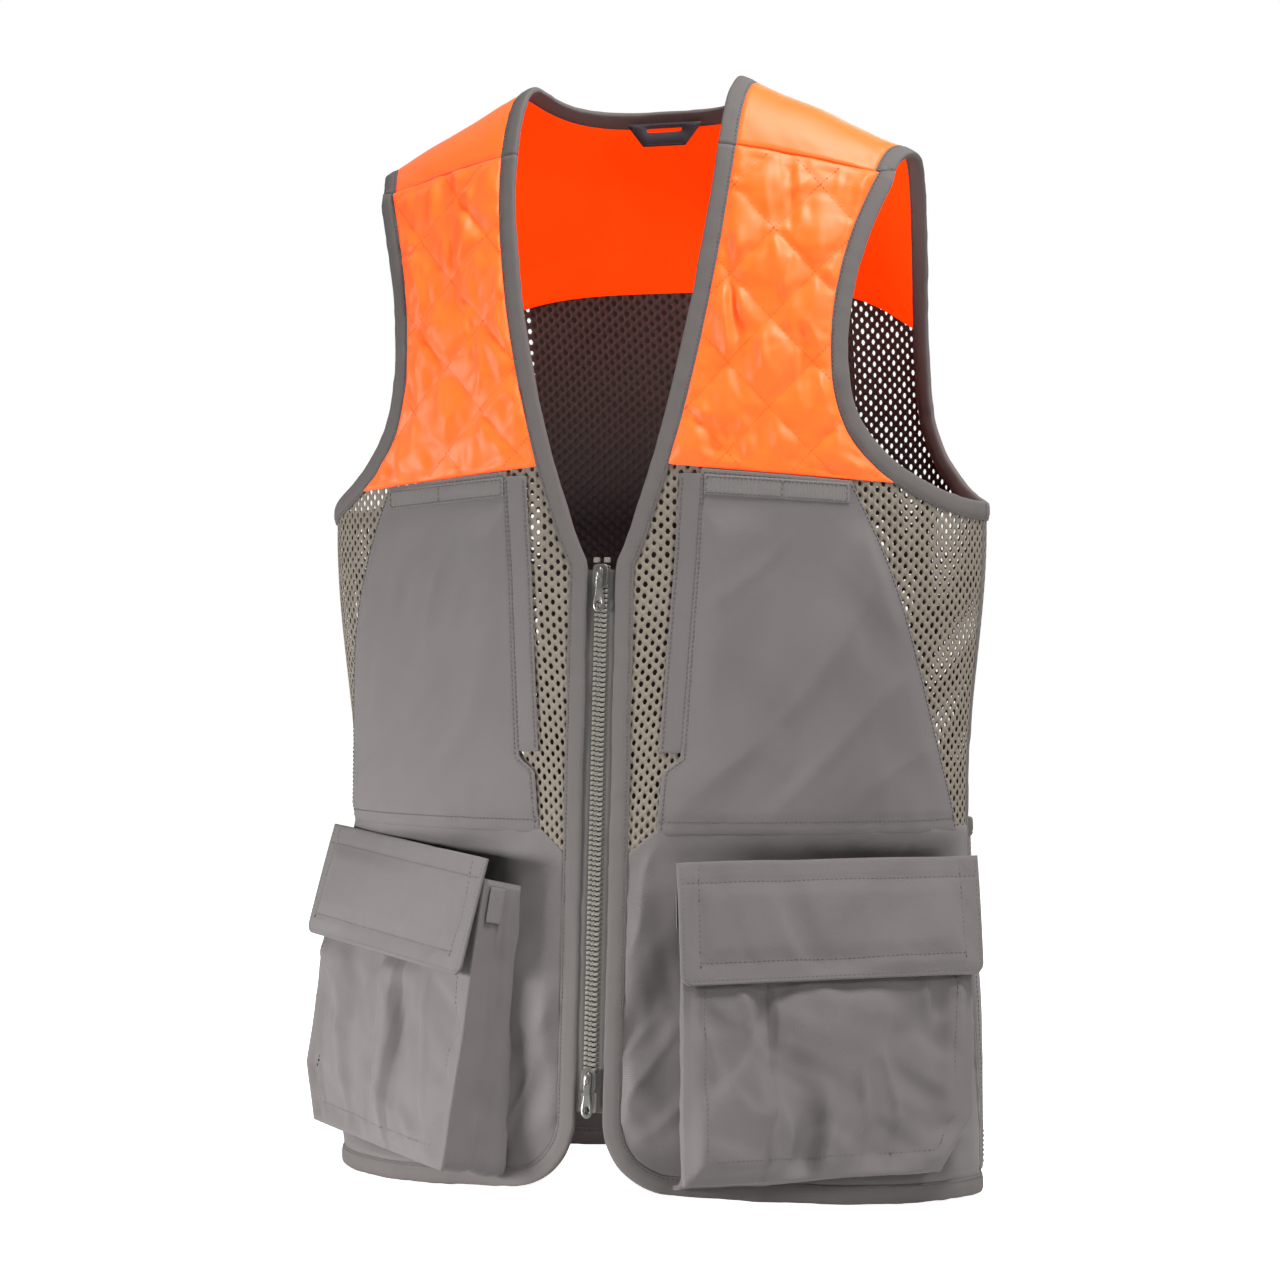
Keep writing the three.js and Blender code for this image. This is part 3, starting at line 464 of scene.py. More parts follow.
class Cloth:
    """A piece of cloth over place(u, v): about size across and up, between two heights, with added relief."""

    def __init__(self, place, size, high, low, side=1, relief=None, normal=normal_at, hang=True):
        self.place, self.size, self.high, self.low, self.side = place, size, high, low, side
        self.relief, self.normal, self.hang, self.swell = relief, normal, hang, None

    def lift(self, u, v, p):
        height = drape(world(p, self.side)) if self.hang else 0 * u
        return height if self.relief is None else height + self.relief(u, v, p)

    def surface(self, u, v, extra=0.0):
        """Points on the outer face, and the directions out of it."""
        p = self.place(u, v)
        n = self.normal(p)
        p = p + n * (self.high + extra + self.lift(u, v, p))[..., None]
        return world(p, self.side), world(n, self.side)

    def build(self, name, material, step=4, rim=0.9, under=None):
        u, v = np.meshgrid(cuts(self.size[0], step, rim), cuts(self.size[1], step, rim))
        p = self.place(u, v)
        n = self.normal(p)
        lift = self.lift(u, v, p)
        low = self.low + lift if under is None else self.low + lift - under(u, v, p)
        shift = None if self.swell is None else self.swell(u, v)
        return shell(name, p, n, self.high + lift, low, material, rim, self.side, shift)

    def line(self, start, end, extra=0.12, count=160):
        """A path over the outer face between two (u, v) places."""
        t = np.linspace(0, 1, count)
        return self.surface(mix(start[0], end[0], t), mix(start[1], end[1], t), extra)

    def inset(self, gap, u=(0, 1), v=(0, 1), sides="left foot right top"):
        """Lines along the named sides, a gap in millimetres inside them."""
        du, dv = gap / self.size[0], gap / self.size[1]
        corners = {"left": ((u[0] + du, v[0] + dv), (u[0] + du, v[1] - dv)),
                   "right": ((u[1] - du, v[0] + dv), (u[1] - du, v[1] - dv)),
                   "foot": ((u[0] + du, v[0] + dv), (u[1] - du, v[0] + dv)),
                   "top": ((u[0] + du, v[1] - dv), (u[1] - du, v[1] - dv))}
        return [self.line(*corners[k]) for k in sides.split()]


TAPE_WIDTH, TAPE_CENTRE, TAPE_DEPTH = 5.9, 5.0, 2.3
TAPE_CORNERS = 24


class Edge:
    """A run along the edge of the cloth, from paths laid end to end, for a folded tape to follow."""

    def __init__(self, paths, inside, side=1, level=False, step=3.0):
        pieces = [path(np.linspace(0, 1, 400)) for path in paths]
        dense = np.concatenate([pieces[0]] + [q[1:] for q in pieces[1:]])
        run = lengths(dense[None], 1)[0]
        ends = np.cumsum([lengths(q[None], 1)[0, -1] for q in pieces])
        self.along = np.linspace(0, run[-1], int(run[-1] / step))
        p = along_line(self.along, run, dense)
        self.joins = [int(np.argmin(np.abs(self.along - e))) for e in ends]
        n = normal_at(p)
        if level:
            n = n * [1, 1, 0]
            n /= np.linalg.norm(n, axis=-1, keepdims=True)
        away = np.cross(np.gradient(p, axis=0), n)
        away /= np.linalg.norm(away, axis=-1, keepdims=True)
        toward = inside(p)
        away *= -np.sign(np.sum(away * toward, -1, keepdims=True))
        if level:
            away = np.zeros_like(away) - [0, 0, 1]
        self.p, self.n, self.away, self.side = p, n, away, side
        self.hang = drape(world(p, side))

    def rings(self):
        turn = np.linspace(0, 2 * math.pi, TAPE_CORNERS + 1)[:-1]
        along = self.along
        fade = smooth(np.minimum(along, along[-1] - along) / 20)
        ripple = noise(along / 7, 0 * along, 5 + self.side) * 0.3 + noise(along / 23, 0 * along, 9) * 0.5
        ripple = ripple * fade
        across = np.sign(np.cos(turn)) * np.abs(np.cos(turn)) ** 0.7 * TAPE_WIDTH
        rise = np.sign(np.sin(turn)) * np.abs(np.sin(turn)) ** 0.5 * TAPE_DEPTH
        seam = 0.6 * np.exp(-((across + 4.1) / 0.9) ** 2) * np.sign(rise)
        gather = 0.25 * noise(along[:, None] / 4, across[None] / 9, 33) * fade[:, None]
        out = TAPE_CENTRE + across[None] + ripple[:, None] * 0.7
        up = (rise - seam)[None] * (1 + 0.12 * ripple[:, None] + gather * 0.5) + self.hang[:, None]
        rings = self.p[:, None] + self.away[:, None] * out[..., None] + self.n[:, None] * up[..., None]
        cloth = np.stack(np.broadcast_arrays(along[:, None], across[None]), -1)
        return world(rings, self.side), cloth

    def threads(self, part=slice(None)):
        lines = []
        for face in (1, -1):
            where = self.p + self.away * (TAPE_CENTRE - 4.1) + self.n * (self.hang + face * 1.62)[:, None]
            lines.append((world(where, self.side)[part], world(self.n * face, self.side)[part]))
        return lines

    def tape(self, name, part=slice(None)):
        rings, cloth = self.rings()
        return tube(name, rings[part], "binding", cloth[part])


def ring_quads(rows, columns, closed=False):
    """Faces between rings of points, each ring closed; the last ring also meets the first if closed."""
    r, c = np.meshgrid(np.arange(rows if closed else rows - 1), np.arange(columns), indexing="ij")
    after, beside = (r + 1) % rows, (c + 1) % columns
    corners = [r * columns + c, r * columns + beside, after * columns + beside, after * columns + c]
    return np.stack(corners, -1).reshape(-1, 4)


def tube(name, rings, material, cloth=None, closed=False):
    """A skin over rings of points, with its ends filled unless it closes on itself."""
    rows, columns = rings.shape[:2]
    faces = ring_quads(rows, columns, closed).tolist()
    if not closed:
        faces += [list(range(columns))[::-1], list(range((rows - 1) * columns, rows * columns))]
    made = add_mesh(name, rings.reshape(-1, 3), faces, material, cloth)
    fix_winding(made)
    for cap in () if closed else (-1, -2):
        made.data.polygons[cap].use_smooth = False
    return made


def fix_winding(made):
    """Turns a closed mesh's faces outwards."""
    mesh = made.data
    mesh.calc_loop_triangles()
    co = np.zeros(len(mesh.vertices) * 3)
    mesh.vertices.foreach_get("co", co)
    triangles = np.zeros(len(mesh.loop_triangles) * 3, int)
    mesh.loop_triangles.foreach_get("vertices", triangles)
    a, b, c = co.reshape(-1, 3)[triangles.reshape(-1, 3)].transpose(1, 0, 2)
    if np.sum(a * np.cross(b, c)) < 0:
        mesh.flip_normals()


def join(name, parts):
    """Several meshes as one piece."""
    with bpy.context.temp_override(active_object=parts[0], selected_editable_objects=parts,
                                   selected_objects=parts, object=parts[0]):
        bpy.ops.object.join()
    parts[0].name = name
    return parts[0]


STITCH_RING = np.array([(math.cos(a), math.sin(a)) for a in np.arange(5) * 2 * math.pi / 5])
STITCH_STATIONS = np.array([(-0.5, 0.3), (-0.3, 1.0), (0.3, 1.0), (0.5, 0.3)])


def stitches(name, paths, material, pitch=3.0, length=2.1, radius=0.4):
    """Thread lying along paths, each given as points and the directions out of the cloth."""
    centres, outs, alongs = [], [], []
    for p, n in paths:
        run = lengths(p[None], 1)[0]
        count = max(1, int(run[-1] / pitch))
        s = (np.arange(count) + 0.5) * run[-1] / count
        centres.append(along_line(s, run, p))
        outs.append(along_line(s, run, n))
        alongs.append(along_line(s + 0.5, run, p) - along_line(s - 0.5, run, p))
    centre, out, along = (np.concatenate(k) for k in (centres, outs, alongs))
    out = out / np.linalg.norm(out, axis=-1, keepdims=True)
    along = along - out * np.sum(along * out, -1, keepdims=True)
    along = along / np.maximum(1e-6, np.linalg.norm(along, axis=-1, keepdims=True))
    across = np.cross(out, along)
    steps = (STITCH_STATIONS[:, 0] * length)[None, :, None, None]
    around = across[:, None] * STITCH_RING[None, :, :1] + out[:, None] * STITCH_RING[None, :, 1:]
    grid = centre[:, None, None] + along[:, None, None] * steps
    grid = grid + around[:, None] * (STITCH_STATIONS[:, 1] * radius)[None, :, None, None]
    stations, corners = len(STITCH_STATIONS), len(STITCH_RING)
    base = np.arange(len(centre))[:, None, None] * (stations * corners)
    sides = (ring_quads(stations, corners)[None] + base).reshape(-1, 4).tolist()
    foot = np.arange(corners)
    ends = np.stack([foot[::-1], foot + (stations - 1) * corners])
    ends = (ends[None] + base).reshape(-1, corners).tolist()
    return add_mesh(name, grid.reshape(-1, 3), sides + ends, material)


def plate(name, outline, thick, material, to_world, hole=None, bevel=0.3):
    """A bevelled plate from an outline between two depths, with an optional hole of as many points."""
    low, high = thick

    def grown(points, inwards):
        centre = points.mean(0)
        span = np.maximum(1e-6, np.abs(points - centre).max(0))
        return centre + (points - centre) * (1 - inwards / span)

    loops = [(grown(outline, bevel), low), (outline, low + bevel),
             (outline, high - bevel), (grown(outline, bevel), high)]
    if hole is not None:
        loops += [(grown(hole, -bevel), high), (hole, high - bevel),
                  (hole, low + bevel), (grown(hole, -bevel), low)]
    rings = np.array([np.column_stack([q, np.full(len(q), d)]) for q, d in loops])
    return tube(name, to_world(rings), material, closed=hole is not None)


def rounded(width, height, radius, centre=(0, 0), count=4):
    """A rounded rectangle as a loop of points."""
    corners = []
    for k, (sx, sy) in enumerate(((1, 1), (-1, 1), (-1, -1), (1, -1))):
        for a in np.linspace(0, QUARTER, count) + k * QUARTER:
            corners.append((centre[0] + sx * (width / 2 - radius) + radius * math.cos(a),
                            centre[1] + sy * (height / 2 - radius) + radius * math.sin(a)))
    return np.array(corners)


# ---------------------------------------------------------------- materials
def add_node(tree, kind, inputs, **settings):
    """A shader node: settings are its own, inputs hold values or the outputs that feed them."""
    made = tree.nodes.new("ShaderNode" + kind)
    for name, value in settings.items():
        setattr(made, name, value)
    for name, value in inputs.items():
        if isinstance(value, bpy.types.NodeSocket):
            tree.links.new(value, made.inputs[name])
        else:
            made.inputs[name].default_value = value
    return made


def painted_shade_by_height(tree, where, colour, fade):
    """Painted shade: the colour at fade[2] of itself at the height fade[0], rising to all of it at fade[1].
    """
    split = add_node(tree, "SeparateXYZ", {"Vector": where})
    height = add_node(tree, "MapRange", {"From Min": fade[0], "From Max": fade[1], "To Min": fade[2],
                                         "Value": split.outputs["Y"]})
    dim = add_node(tree, "VectorMath", {0: colour, "Scale": height.outputs["Result"]}, operation="SCALE")
    return dim.outputs["Vector"]


def woven(tree, where, colour, weave, depth, shader):
    """The colour with the grain of a weave, whose threads also raise the shader's surface."""
    angle, pitch = weave
    turn = add_node(tree, "VectorRotate", {"Axis": (0, 0, 1), "Angle": math.radians(angle), "Vector": where})
    wave = add_node(tree, "TexWave", {"Scale": 0.314 / pitch, "Distortion": 1.5, "Detail": 2,
                                      "Detail Scale": 2.5, "Vector": turn.outputs["Vector"]})
    grain = add_node(tree, "TexNoise", {"Scale": 1.1, "Detail": 3, "Vector": where})
    both = add_node(tree, "Math", {0: wave.outputs["Fac"], 1: grain.outputs["Fac"]}, operation="ADD")
    bump = add_node(tree, "Bump", {"Strength": depth, "Distance": 0.0003, "Height": both.outputs[0]})
    tree.links.new(bump.outputs["Normal"], shader.inputs["Normal"])
    shade = add_node(tree, "Mix", {"Factor": 0.12, "A": colour, "B": grain.outputs["Fac"]},
                     data_type="RGBA", blend_type="MULTIPLY")
    return shade.outputs["Result"]


def material(name, colour, rough=0.85, metal=0.0, sheen=0.0, glow=0.0, glow_colour=None, weave=None,
             spread=0.04, depth=0.2, fade=None, gloss=0.5):
    """A procedural finish. weave is (angle in degrees, pitch in mm); colour is linear. glow is painted glow,
    and fade darkens the colour by height as painted shade.
    """
    made = bpy.data.materials.new(name)
    made.use_nodes = True
    tree = made.node_tree
    shader = tree.nodes["Principled BSDF"]
    values = {"Roughness": rough, "Metallic": metal, "Sheen Weight": sheen, "Specular IOR Level": gloss}
    if glow:
        values.update({"Emission Color": (*(glow_colour or colour), 1), "Emission Strength": glow})
    for socket, value in values.items():
        shader.inputs[socket].default_value = value
    where = add_node(tree, "Attribute", {}, attribute_name="cloth").outputs["Vector"]
    tone = add_node(tree, "TexNoise", {"Scale": 0.05, "Detail": 5, "Vector": where})
    darker, lighter = ([min(1, c * (1 + k * spread)) for c in colour] for k in (-1, 1))
    ramp = add_node(tree, "Mix", {"A": (*darker, 1), "B": (*lighter, 1), "Factor": tone.outputs["Fac"]},
                    data_type="RGBA")
    colour_out = ramp.outputs["Result"]
    if fade:
        colour_out = painted_shade_by_height(tree, where, colour_out, fade)
    if weave:
        colour_out = woven(tree, where, colour_out, weave, depth, shader)
    tree.links.new(colour_out, shader.inputs["Base Color"])
    MATERIALS[name] = made


def srgb(r, g, b):
    return tuple(((c / 255 + 0.055) / 1.055) ** 2.4 for c in (r, g, b))


# The orange's glow is painted glow: emission that stands in for its fluorescence and keeps its red bright in
# shade.
material("blaze", (1.0, 0.13, 0.008), 0.5, sheen=0.1, glow=0.6, glow_colour=(1.0, 0.02, 0.0),
         weave=(45, 0.8), depth=0.1, gloss=0.35)
# Painted shade: a shaded copy of the orange for the yoke's inner face, deeper red and less glossy, with a
# stronger painted glow.
material("blaze_painted_shade", (1.0, 0.06, 0.001), 0.8, glow=0.75, glow_colour=(1.0, 0.034, 0.0),
         weave=(45, 0.8), depth=0.1, gloss=0.08)
material("grey", srgb(92, 87, 86), 0.75, sheen=0.1, weave=(40, 0.8), depth=0.4)
material("mesh", srgb(108, 100, 89), 0.75, spread=0.12)
# Painted shade for the mesh's inner face and hole walls: darker than the mesh, and darker still towards the
# bottom.
material("mesh_painted_shade", srgb(76, 61, 56), 0.9, spread=0.08, fade=(440, 590, 0.06))
# Painted shade: a near-black sheet set inside the back mesh, so its holes look into shade.
material("painted_shade_sheet", (0.012, 0.010, 0.010), 0.9)
material("binding", srgb(87, 82, 80), 0.82, weave=(60, 0.8), depth=0.3)
material("webbing", srgb(102, 98, 96), 0.85, weave=(0, 1.4), depth=0.6)
material("thread_grey", srgb(78, 74, 73), 0.8)
# The orange thread carries a weak painted glow too.
material("thread_blaze", (0.75, 0.07, 0.003), 0.8, glow=0.1)
material("hook", srgb(84, 81, 79), 0.95, weave=(20, 0.6), depth=0.8)
material("zip_tape", srgb(84, 80, 78), 0.9, weave=(90, 0.7), depth=0.3)
material("zip_teeth", srgb(104, 100, 93), 0.5)
material("metal", srgb(105, 104, 100), 0.35, metal=0.7)
material("label", srgb(40, 42, 48), 0.7, weave=(0, 0.6), depth=0.2)


# ---------------------------------------------------------------- attaching
# Slot names for finishes. Any other finish takes its own name with _fabric after it.
SLOTS = {"hook": "hook_loop", "webbing": "webbing", "zip_tape": "zip_tape"}
# Places between the back and a front: over the shoulder, and round the side seam.
SIDE_SEAM_Y = SET_BACK * MM
BENDS = {"upper": ((0, 0, 0.640), (0, 0, 0.450)),
         "side": ((0, SIDE_SEAM_Y - 0.001, 0), (0, SIDE_SEAM_Y - 0.034, 0))}


def attach(made, carrier, slot, *nodes):
    """Puts a piece on its body, or leaves a piece between two bodies in place with its transform applied, and
    hides the CAD nodes it stands for.
    """
    if nodes:
        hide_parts(*nodes)
    side, _, part = carrier.partition("_")
    if part in BENDS:
        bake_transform(made)
    else:
        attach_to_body(made, carrier)


def lay(cloth, name, finish, step, carrier, rim=0.9):
    """Builds a Cloth piece of the same name as its CAD node and puts it on its body."""
    attach(cloth.build(name, finish, step, rim), carrier, SLOTS.get(finish, finish + "_fabric"), name)


def sew(name, paths, carrier, slot, thread="thread_grey", **how):
    attach(stitches(name, paths, thread, **how), carrier, slot)


def bind(edge, name, seam_name, carrier, part=slice(None), pitch=3.0):
    """The tape along an edge of the cloth, sewn through both of its faces."""
    attach(edge.tape(name, part), carrier, "binding_fabric", name)
    sew(seam_name, edge.threads(part), carrier, "binding_fabric", pitch=pitch)


# ---------------------------------------------------------------- open mesh
COLUMN, ROW = 3.9, 7.2
CORNERS = np.array([(2.75, 0), (1.15, 3.6), (-1.15, 3.6), (-2.75, 0), (-1.15, -3.6), (1.15, -3.6)])
HOLE = (1.3, 1.75)
GIRTH_Z = 330
PAINTED_SHADE_SHEET_HALF = 112


def lattice(name, angles, heights, inside, side=1, high=0.35, low=-0.45, seed=1):
    """Knitted mesh with real holes: a hexagon of cloth round each one, over the body form."""
    table = np.linspace(angles[0], angles[1], 600)
    girth = lengths(body(table, GIRTH_Z)[None], 1)[0]
    columns, rows = int(girth[-1] / COLUMN) + 2, int((heights[1] - heights[0]) / ROW) + 2
    i, j = np.meshgrid(np.arange(columns), np.arange(rows))
    s, z = (i * COLUMN).ravel(), (heights[0] + (j + 0.5 * (i % 2)) * ROW).ravel()
    keep = (s <= girth[-1] + 2) & inside(np.interp(s, girth, table), z)
    centre = np.stack([s[keep], z[keep]], -1)
    corner = centre[:, None] + CORNERS[None]
    key = np.round(corner * 20).astype(int).reshape(-1, 2)
    _, first, number = np.unique(key, axis=0, return_index=True, return_inverse=True)
    shared = corner.reshape(-1, 2)[first]
    number = number.reshape(-1, 6)
    turn = np.arange(6) * math.pi / 3
    size = 1 + 0.16 * hashed(centre[:, 0], centre[:, 1], seed)[:, None]
    skew = 0.12 * hashed(centre[:, 1], centre[:, 0], seed + 1)[:, None]
    hole = np.stack([HOLE[0] * size * np.cos(turn) + skew * np.sin(turn), HOLE[1] * size * np.sin(turn)], -1)
    flat = np.concatenate([shared, (centre[:, None] + hole).reshape(-1, 2)])
    count = len(shared)
    rim = count + np.arange(len(centre))[:, None] * 6 + np.arange(6)[None]
    angle = np.interp(flat[:, 0], girth, table) + np.minimum(0, flat[:, 0]) / 400
    p = body(angle, flat[:, 1])
    n = normal_at(p)
    lift = drape(world(p, side))
    crown = np.where(np.arange(len(flat)) < count, 1.0, 0.45)
    middle, half = (high + low) / 2, (high - low) / 2
    top = p + n * (lift + middle + half * crown)[:, None]
    foot = p + n * (lift + middle - half * crown)[:, None]
    beside, rim_beside = np.roll(number, -1, 1), np.roll(rim, -1, 1)
    upper = np.stack([number, beside, rim_beside, rim], -1).reshape(-1, 4)
    lower = upper[:, ::-1] + len(flat)
    wall = np.stack([rim, rim_beside, rim_beside + len(flat), rim + len(flat)], -1).reshape(-1, 4)
    faces = np.concatenate([upper, lower, wall])
    e1, e2 = top[upper[0, 1]] - top[upper[0, 0]], top[upper[0, 3]] - top[upper[0, 0]]
    if (np.cross(e1, e2) @ n[upper[0, 0]]) * side < 0:
        faces = faces[:, ::-1]
    vertices = world(np.concatenate([top, foot]), side)
    made = add_mesh(name, vertices, faces, "mesh", np.concatenate([flat, flat]))
    # The inner face and the hole walls take the painted-shade copy of the mesh.
    made.data.materials.append(MATERIALS["mesh_painted_shade"])
    made.data.polygons.foreach_set("material_index", np.repeat([0, 1, 1], len(upper)).astype(np.int32))
    return made


def front_mesh_inside(angle, z):
    x = np.abs(body(angle, z)[..., 0])
    edge = front_edge_x(z)
    near_edge = (x - FRONT_EDGE_X) / (MESH_TIP_X - FRONT_EDGE_X)
    waist = np.where(x < MESH_TIP_X, mix(MESH_TIP_Z, WAIST_SEAM_Z, near_edge), WAIST_SEAM_Z)
    u = np.clip((x - edge) / (armhole_x(z) - edge), 0, 1)
    arm = armhole(armhole_share(z), True)[0]
    below_arm = (z < UNDERARM_Z + 2) | (angle < arm + 0.03)
    return (x > edge - 2) & (z > waist - 3) & (z < mix(PATCH_Z[0], PATCH_Z[1], u) + 4) & below_arm


def back_mesh_inside(angle, z):
    x = np.abs(body(angle, z)[..., 0])
    arm = armhole(armhole_share(z), False)[0]
    off = math.pi - np.abs(math.pi - angle)
    return (z > WAIST_SEAM_Z - 3) & (z < yoke_foot_z(x) + 4) & ((z < UNDERARM_Z + 2) | (off > arm - 0.03))


# ---------------------------------------------------------------- relief
def near(d, width):
    """1 on a line and fading to nothing a few widths away."""
    return np.exp(-(d / width) ** 2)


def puckers(d, s, seed, reach=9.0, pitch=5.0):
    """Small gathers beside a seam: d is the distance from it and s the place along it."""
    gathers = 0.45 * noise(s / pitch, d / 30, seed) + 0.35 * noise(s / (2.3 * pitch), 0, seed + 7)
    return np.exp(-np.abs(d) / reach) * gathers


def long_folds(x, z, turn, width, seed):
    """Soft folds running at an angle, a few times as long as they are wide."""
    c, s = math.cos(turn), math.sin(turn)
    across, along = (x * c + z * s) / width, (z * c - x * s) / (width * 3.2)
    bend = noise(across * 0.6, along * 0.9, seed + 3)
    return noise(across + 0.6 * bend, along, seed)


def creases(x, z, turn, width, seed):
    """Sharp ridges wandering along the same kind of folds."""
    return np.clip(1 - 2.2 * np.abs(long_folds(x, z, turn, width, seed)), 0, 1) ** 2


def folds_of(x, z, *kinds):
    """The sum of several kinds of fold, each (angle in radians, width, seed, height)."""
    return sum(long_folds(x, z, turn, width, seed) * height for turn, width, seed, height in kinds)


def to_edges(u, v, size, sides="left right foot top"):
    """The distance in millimetres to the nearest of the named sides of a piece."""
    gaps = {"left": u * size[0], "right": (1 - u) * size[0], "foot": v * size[1], "top": (1 - v) * size[1]}
    return np.minimum.reduce([gaps[side] for side in sides.split()])


DIAMOND = (50, 55)
QUILT_PHASES = {1: (0.03, 0.83), -1: (0.42, 0.3)}


def quilt_lines(x, z, side):
    """Distances in millimetres to the two families of stitched lines, and the lines' own numbers."""
    across, up = x / DIAMOND[0], z / DIAMOND[1]
    a, b = across + up + QUILT_PHASES[side][0], across - up + QUILT_PHASES[side][1]
    pitch = 1 / math.hypot(1 / DIAMOND[0], 1 / DIAMOND[1])
    return [np.abs(k - np.round(k)) * pitch for k in (a, b)], (a, b)


def quilt(side):
    """The puffed diamonds of a shoulder patch, with folds drawn across them from the stitching."""
    def relief(u, v, p):
        x, z = p[..., 0], p[..., 2]
        (da, db), _ = quilt_lines(x, z, side)
        border = to_edges(u, v, PATCH_SIZE)
        puff = 3.4 * (1 - np.exp(-da / 8)) * (1 - np.exp(-db / 8)) * (1 - np.exp(-border / 7))
        drawn = folds_of(x, z, (0.1 * side, 8.5, 21 + side, 2.6), (-0.25, 14, 31 + side, 1.5))
        free = smooth(np.minimum(da, db) / 7) * smooth(border / 8)
        seams = 1.4 * puckers(border, z + x * 0.4, 41 + side, 11, 4)
        seams = seams + puckers(da, z, 43, 8, 4.5) + puckers(db, z, 44, 8, 4.5)
        sharp = creases(x, z, 0.15, 14, 47 + side) * 1.6 + creases(x, z, -0.4 * side, 13, 49 + side) * 0.8
        return puff + (drawn + sharp) * (0.25 + 0.75 * free) + seams * smooth(border / 3) * 1.5
    return relief


# ---------------------------------------------------------------- cloth simulation
# The cloth is simulated larger than it is, where the solver's own thicknesses matter less.
SIM_SCALE = 5
SLIDE_LIMIT = 2.5


def settle(points, pinned, wider=(1.0, 1.0), pressure=0.0, bending=0.3, frames_run=26):
    """How far each point of a grid of cloth moves, in millimetres, when the cloth is cut wider than its
    place and buckles between its pinned stitching."""
    rows, columns = points.shape[:2]
    start = points.reshape(-1, 3) * MM * SIM_SCALE
    mesh = bpy.data.meshes.new("settling")
    mesh.from_pydata(start.tolist(), [], grid_faces(rows, columns).tolist())
    cloth = bpy.data.objects.new("settling", mesh)
    bpy.context.scene.collection.objects.link(cloth)
    group = cloth.vertex_groups.new(name="pinned")
    for index in np.flatnonzero(pinned.ravel() > 0.02).tolist():
        group.add([index], float(pinned.ravel()[index]), "REPLACE")
    cloth.shape_key_add(name="Basis")
    cut = cloth.shape_key_add(name="cut")
    middle = start.reshape(rows, columns, 3)
    across, up = middle - middle.mean(1, keepdims=True), middle - middle.mean(0, keepdims=True)
    larger = middle + across * (wider[0] - 1) + up * (wider[1] - 1)
    cut.data.foreach_set("co", larger.ravel())
    modifier = cloth.modifiers.new("Cloth", "CLOTH")
    settings = modifier.settings
    settings.quality, settings.mass = 6, 0.3
    settings.tension_stiffness = settings.compression_stiffness = 12
    settings.shear_stiffness, settings.bending_stiffness = 4, bending
    settings.tension_damping = settings.compression_damping = settings.shear_damping = 8
    settings.vertex_group_mass = "pinned"
    settings.rest_shape_key = cut
    settings.use_pressure, settings.uniform_pressure_force = pressure != 0, pressure
    settings.effector_weights.gravity = 0
    modifier.collision_settings.use_collision = False
    modifier.point_cache.frame_end = frames_run
    scene = bpy.context.scene
    for frame_number in range(1, frames_run + 1):
        scene.frame_set(frame_number)
    done = cloth.evaluated_get(bpy.context.evaluated_depsgraph_get()).data
    moved = np.zeros(len(start) * 3)
    done.vertices.foreach_get("co", moved)
    bpy.data.objects.remove(cloth)
    bpy.data.meshes.remove(mesh)
    scene.frame_set(1)
    return ((moved.reshape(-1, 3) - start) / (MM * SIM_SCALE)).reshape(rows, columns, 3)


def sampled(field, u, v):
    """A field on an even grid, read smoothly at places (u, v)."""
    rows, columns = field.shape[:2]
    x, y = np.clip(u, 0, 1) * (columns - 1), np.clip(v, 0, 1) * (rows - 1)
    ix, iy = np.minimum(x.astype(int), columns - 2), np.minimum(y.astype(int), rows - 2)
    fx, fy = (x - ix)[..., None], (y - iy)[..., None]
    low = mix(field[iy, ix], field[iy, ix + 1], fx)
    high = mix(field[iy + 1, ix], field[iy + 1, ix + 1], fx)
    return mix(low, high, fy)


def softened(field):
    """Each value of a grid averaged with its four neighbours, and counting half itself."""
    edge = np.pad(field, ((1, 1), (1, 1), (0, 0)), mode="edge")
    beside = edge[:-2, 1:-1] + edge[2:, 1:-1] + edge[1:-1, :-2] + edge[1:-1, 2:]
    return (field * 4 + beside) / 8


def settled(cloth, pinned_at, step, limits, **how):
    """Runs settle over a Cloth piece and keeps the movement, held between limits along the normal."""
    counts = [int(length / step) for length in cloth.size]
    u, v = np.meshgrid(np.linspace(0, 1, counts[0]), np.linspace(0, 1, counts[1]))
    p = cloth.place(u, v)
    n = cloth.normal(p)
    surface = p + n * (cloth.high + cloth.lift(u, v, p))[..., None]
    moved = softened(settle(surface, pinned_at(u, v, p), **how))
    height = np.sum(moved * n, -1)
    sideways = np.clip(moved - n * height[..., None], -SLIDE_LIMIT, SLIDE_LIMIT)
    field = sideways + n * np.clip(height, *limits)[..., None]
    cloth.swell = lambda u, v: sampled(field, u, v)


def quilt_pins(side):
    """The stitched lines and the border of a patch, pinned."""
    def pins(u, v, p):
        (da, db), _ = quilt_lines(p[..., 0], p[..., 2], side)
        return np.where((np.minimum(da, db) < 1.5) | (to_edges(u, v, PATCH_SIZE) < 4), 1.0, 0.0)
    return pins


def face_pins(side):
    """A pocket face pinned at its edges, under its flap, and here and there along stitching and pleat."""
    def pins(u, v, p):
        x, y = u * POCKET_WIDTH, v * FACE_HEIGHT
        edge = np.minimum.reduce([x, POCKET_WIDTH - x, y, FACE_HEIGHT - y])
        line = np.abs(x - PLEAT[side] * POCKET_WIDTH)
        stitched = (np.abs(edge - STITCH_INSET) < 2.2) & (noise(x / 13, y / 13, 7 + side) > 0.1)
        pleat = (line < 2.2) & (noise(y / 20, 0 * y, 3 + side) > 0.2)
        return np.where((edge < 3) | stitched | pleat | (y > FLAP_LINE - 58), 1.0, 0.0)
    return pins


# ---------------------------------------------------------------- the cargo pockets
PLEAT = {1: 0.28, -1: 0.36}
UP = np.array([0, 0, 1.0])


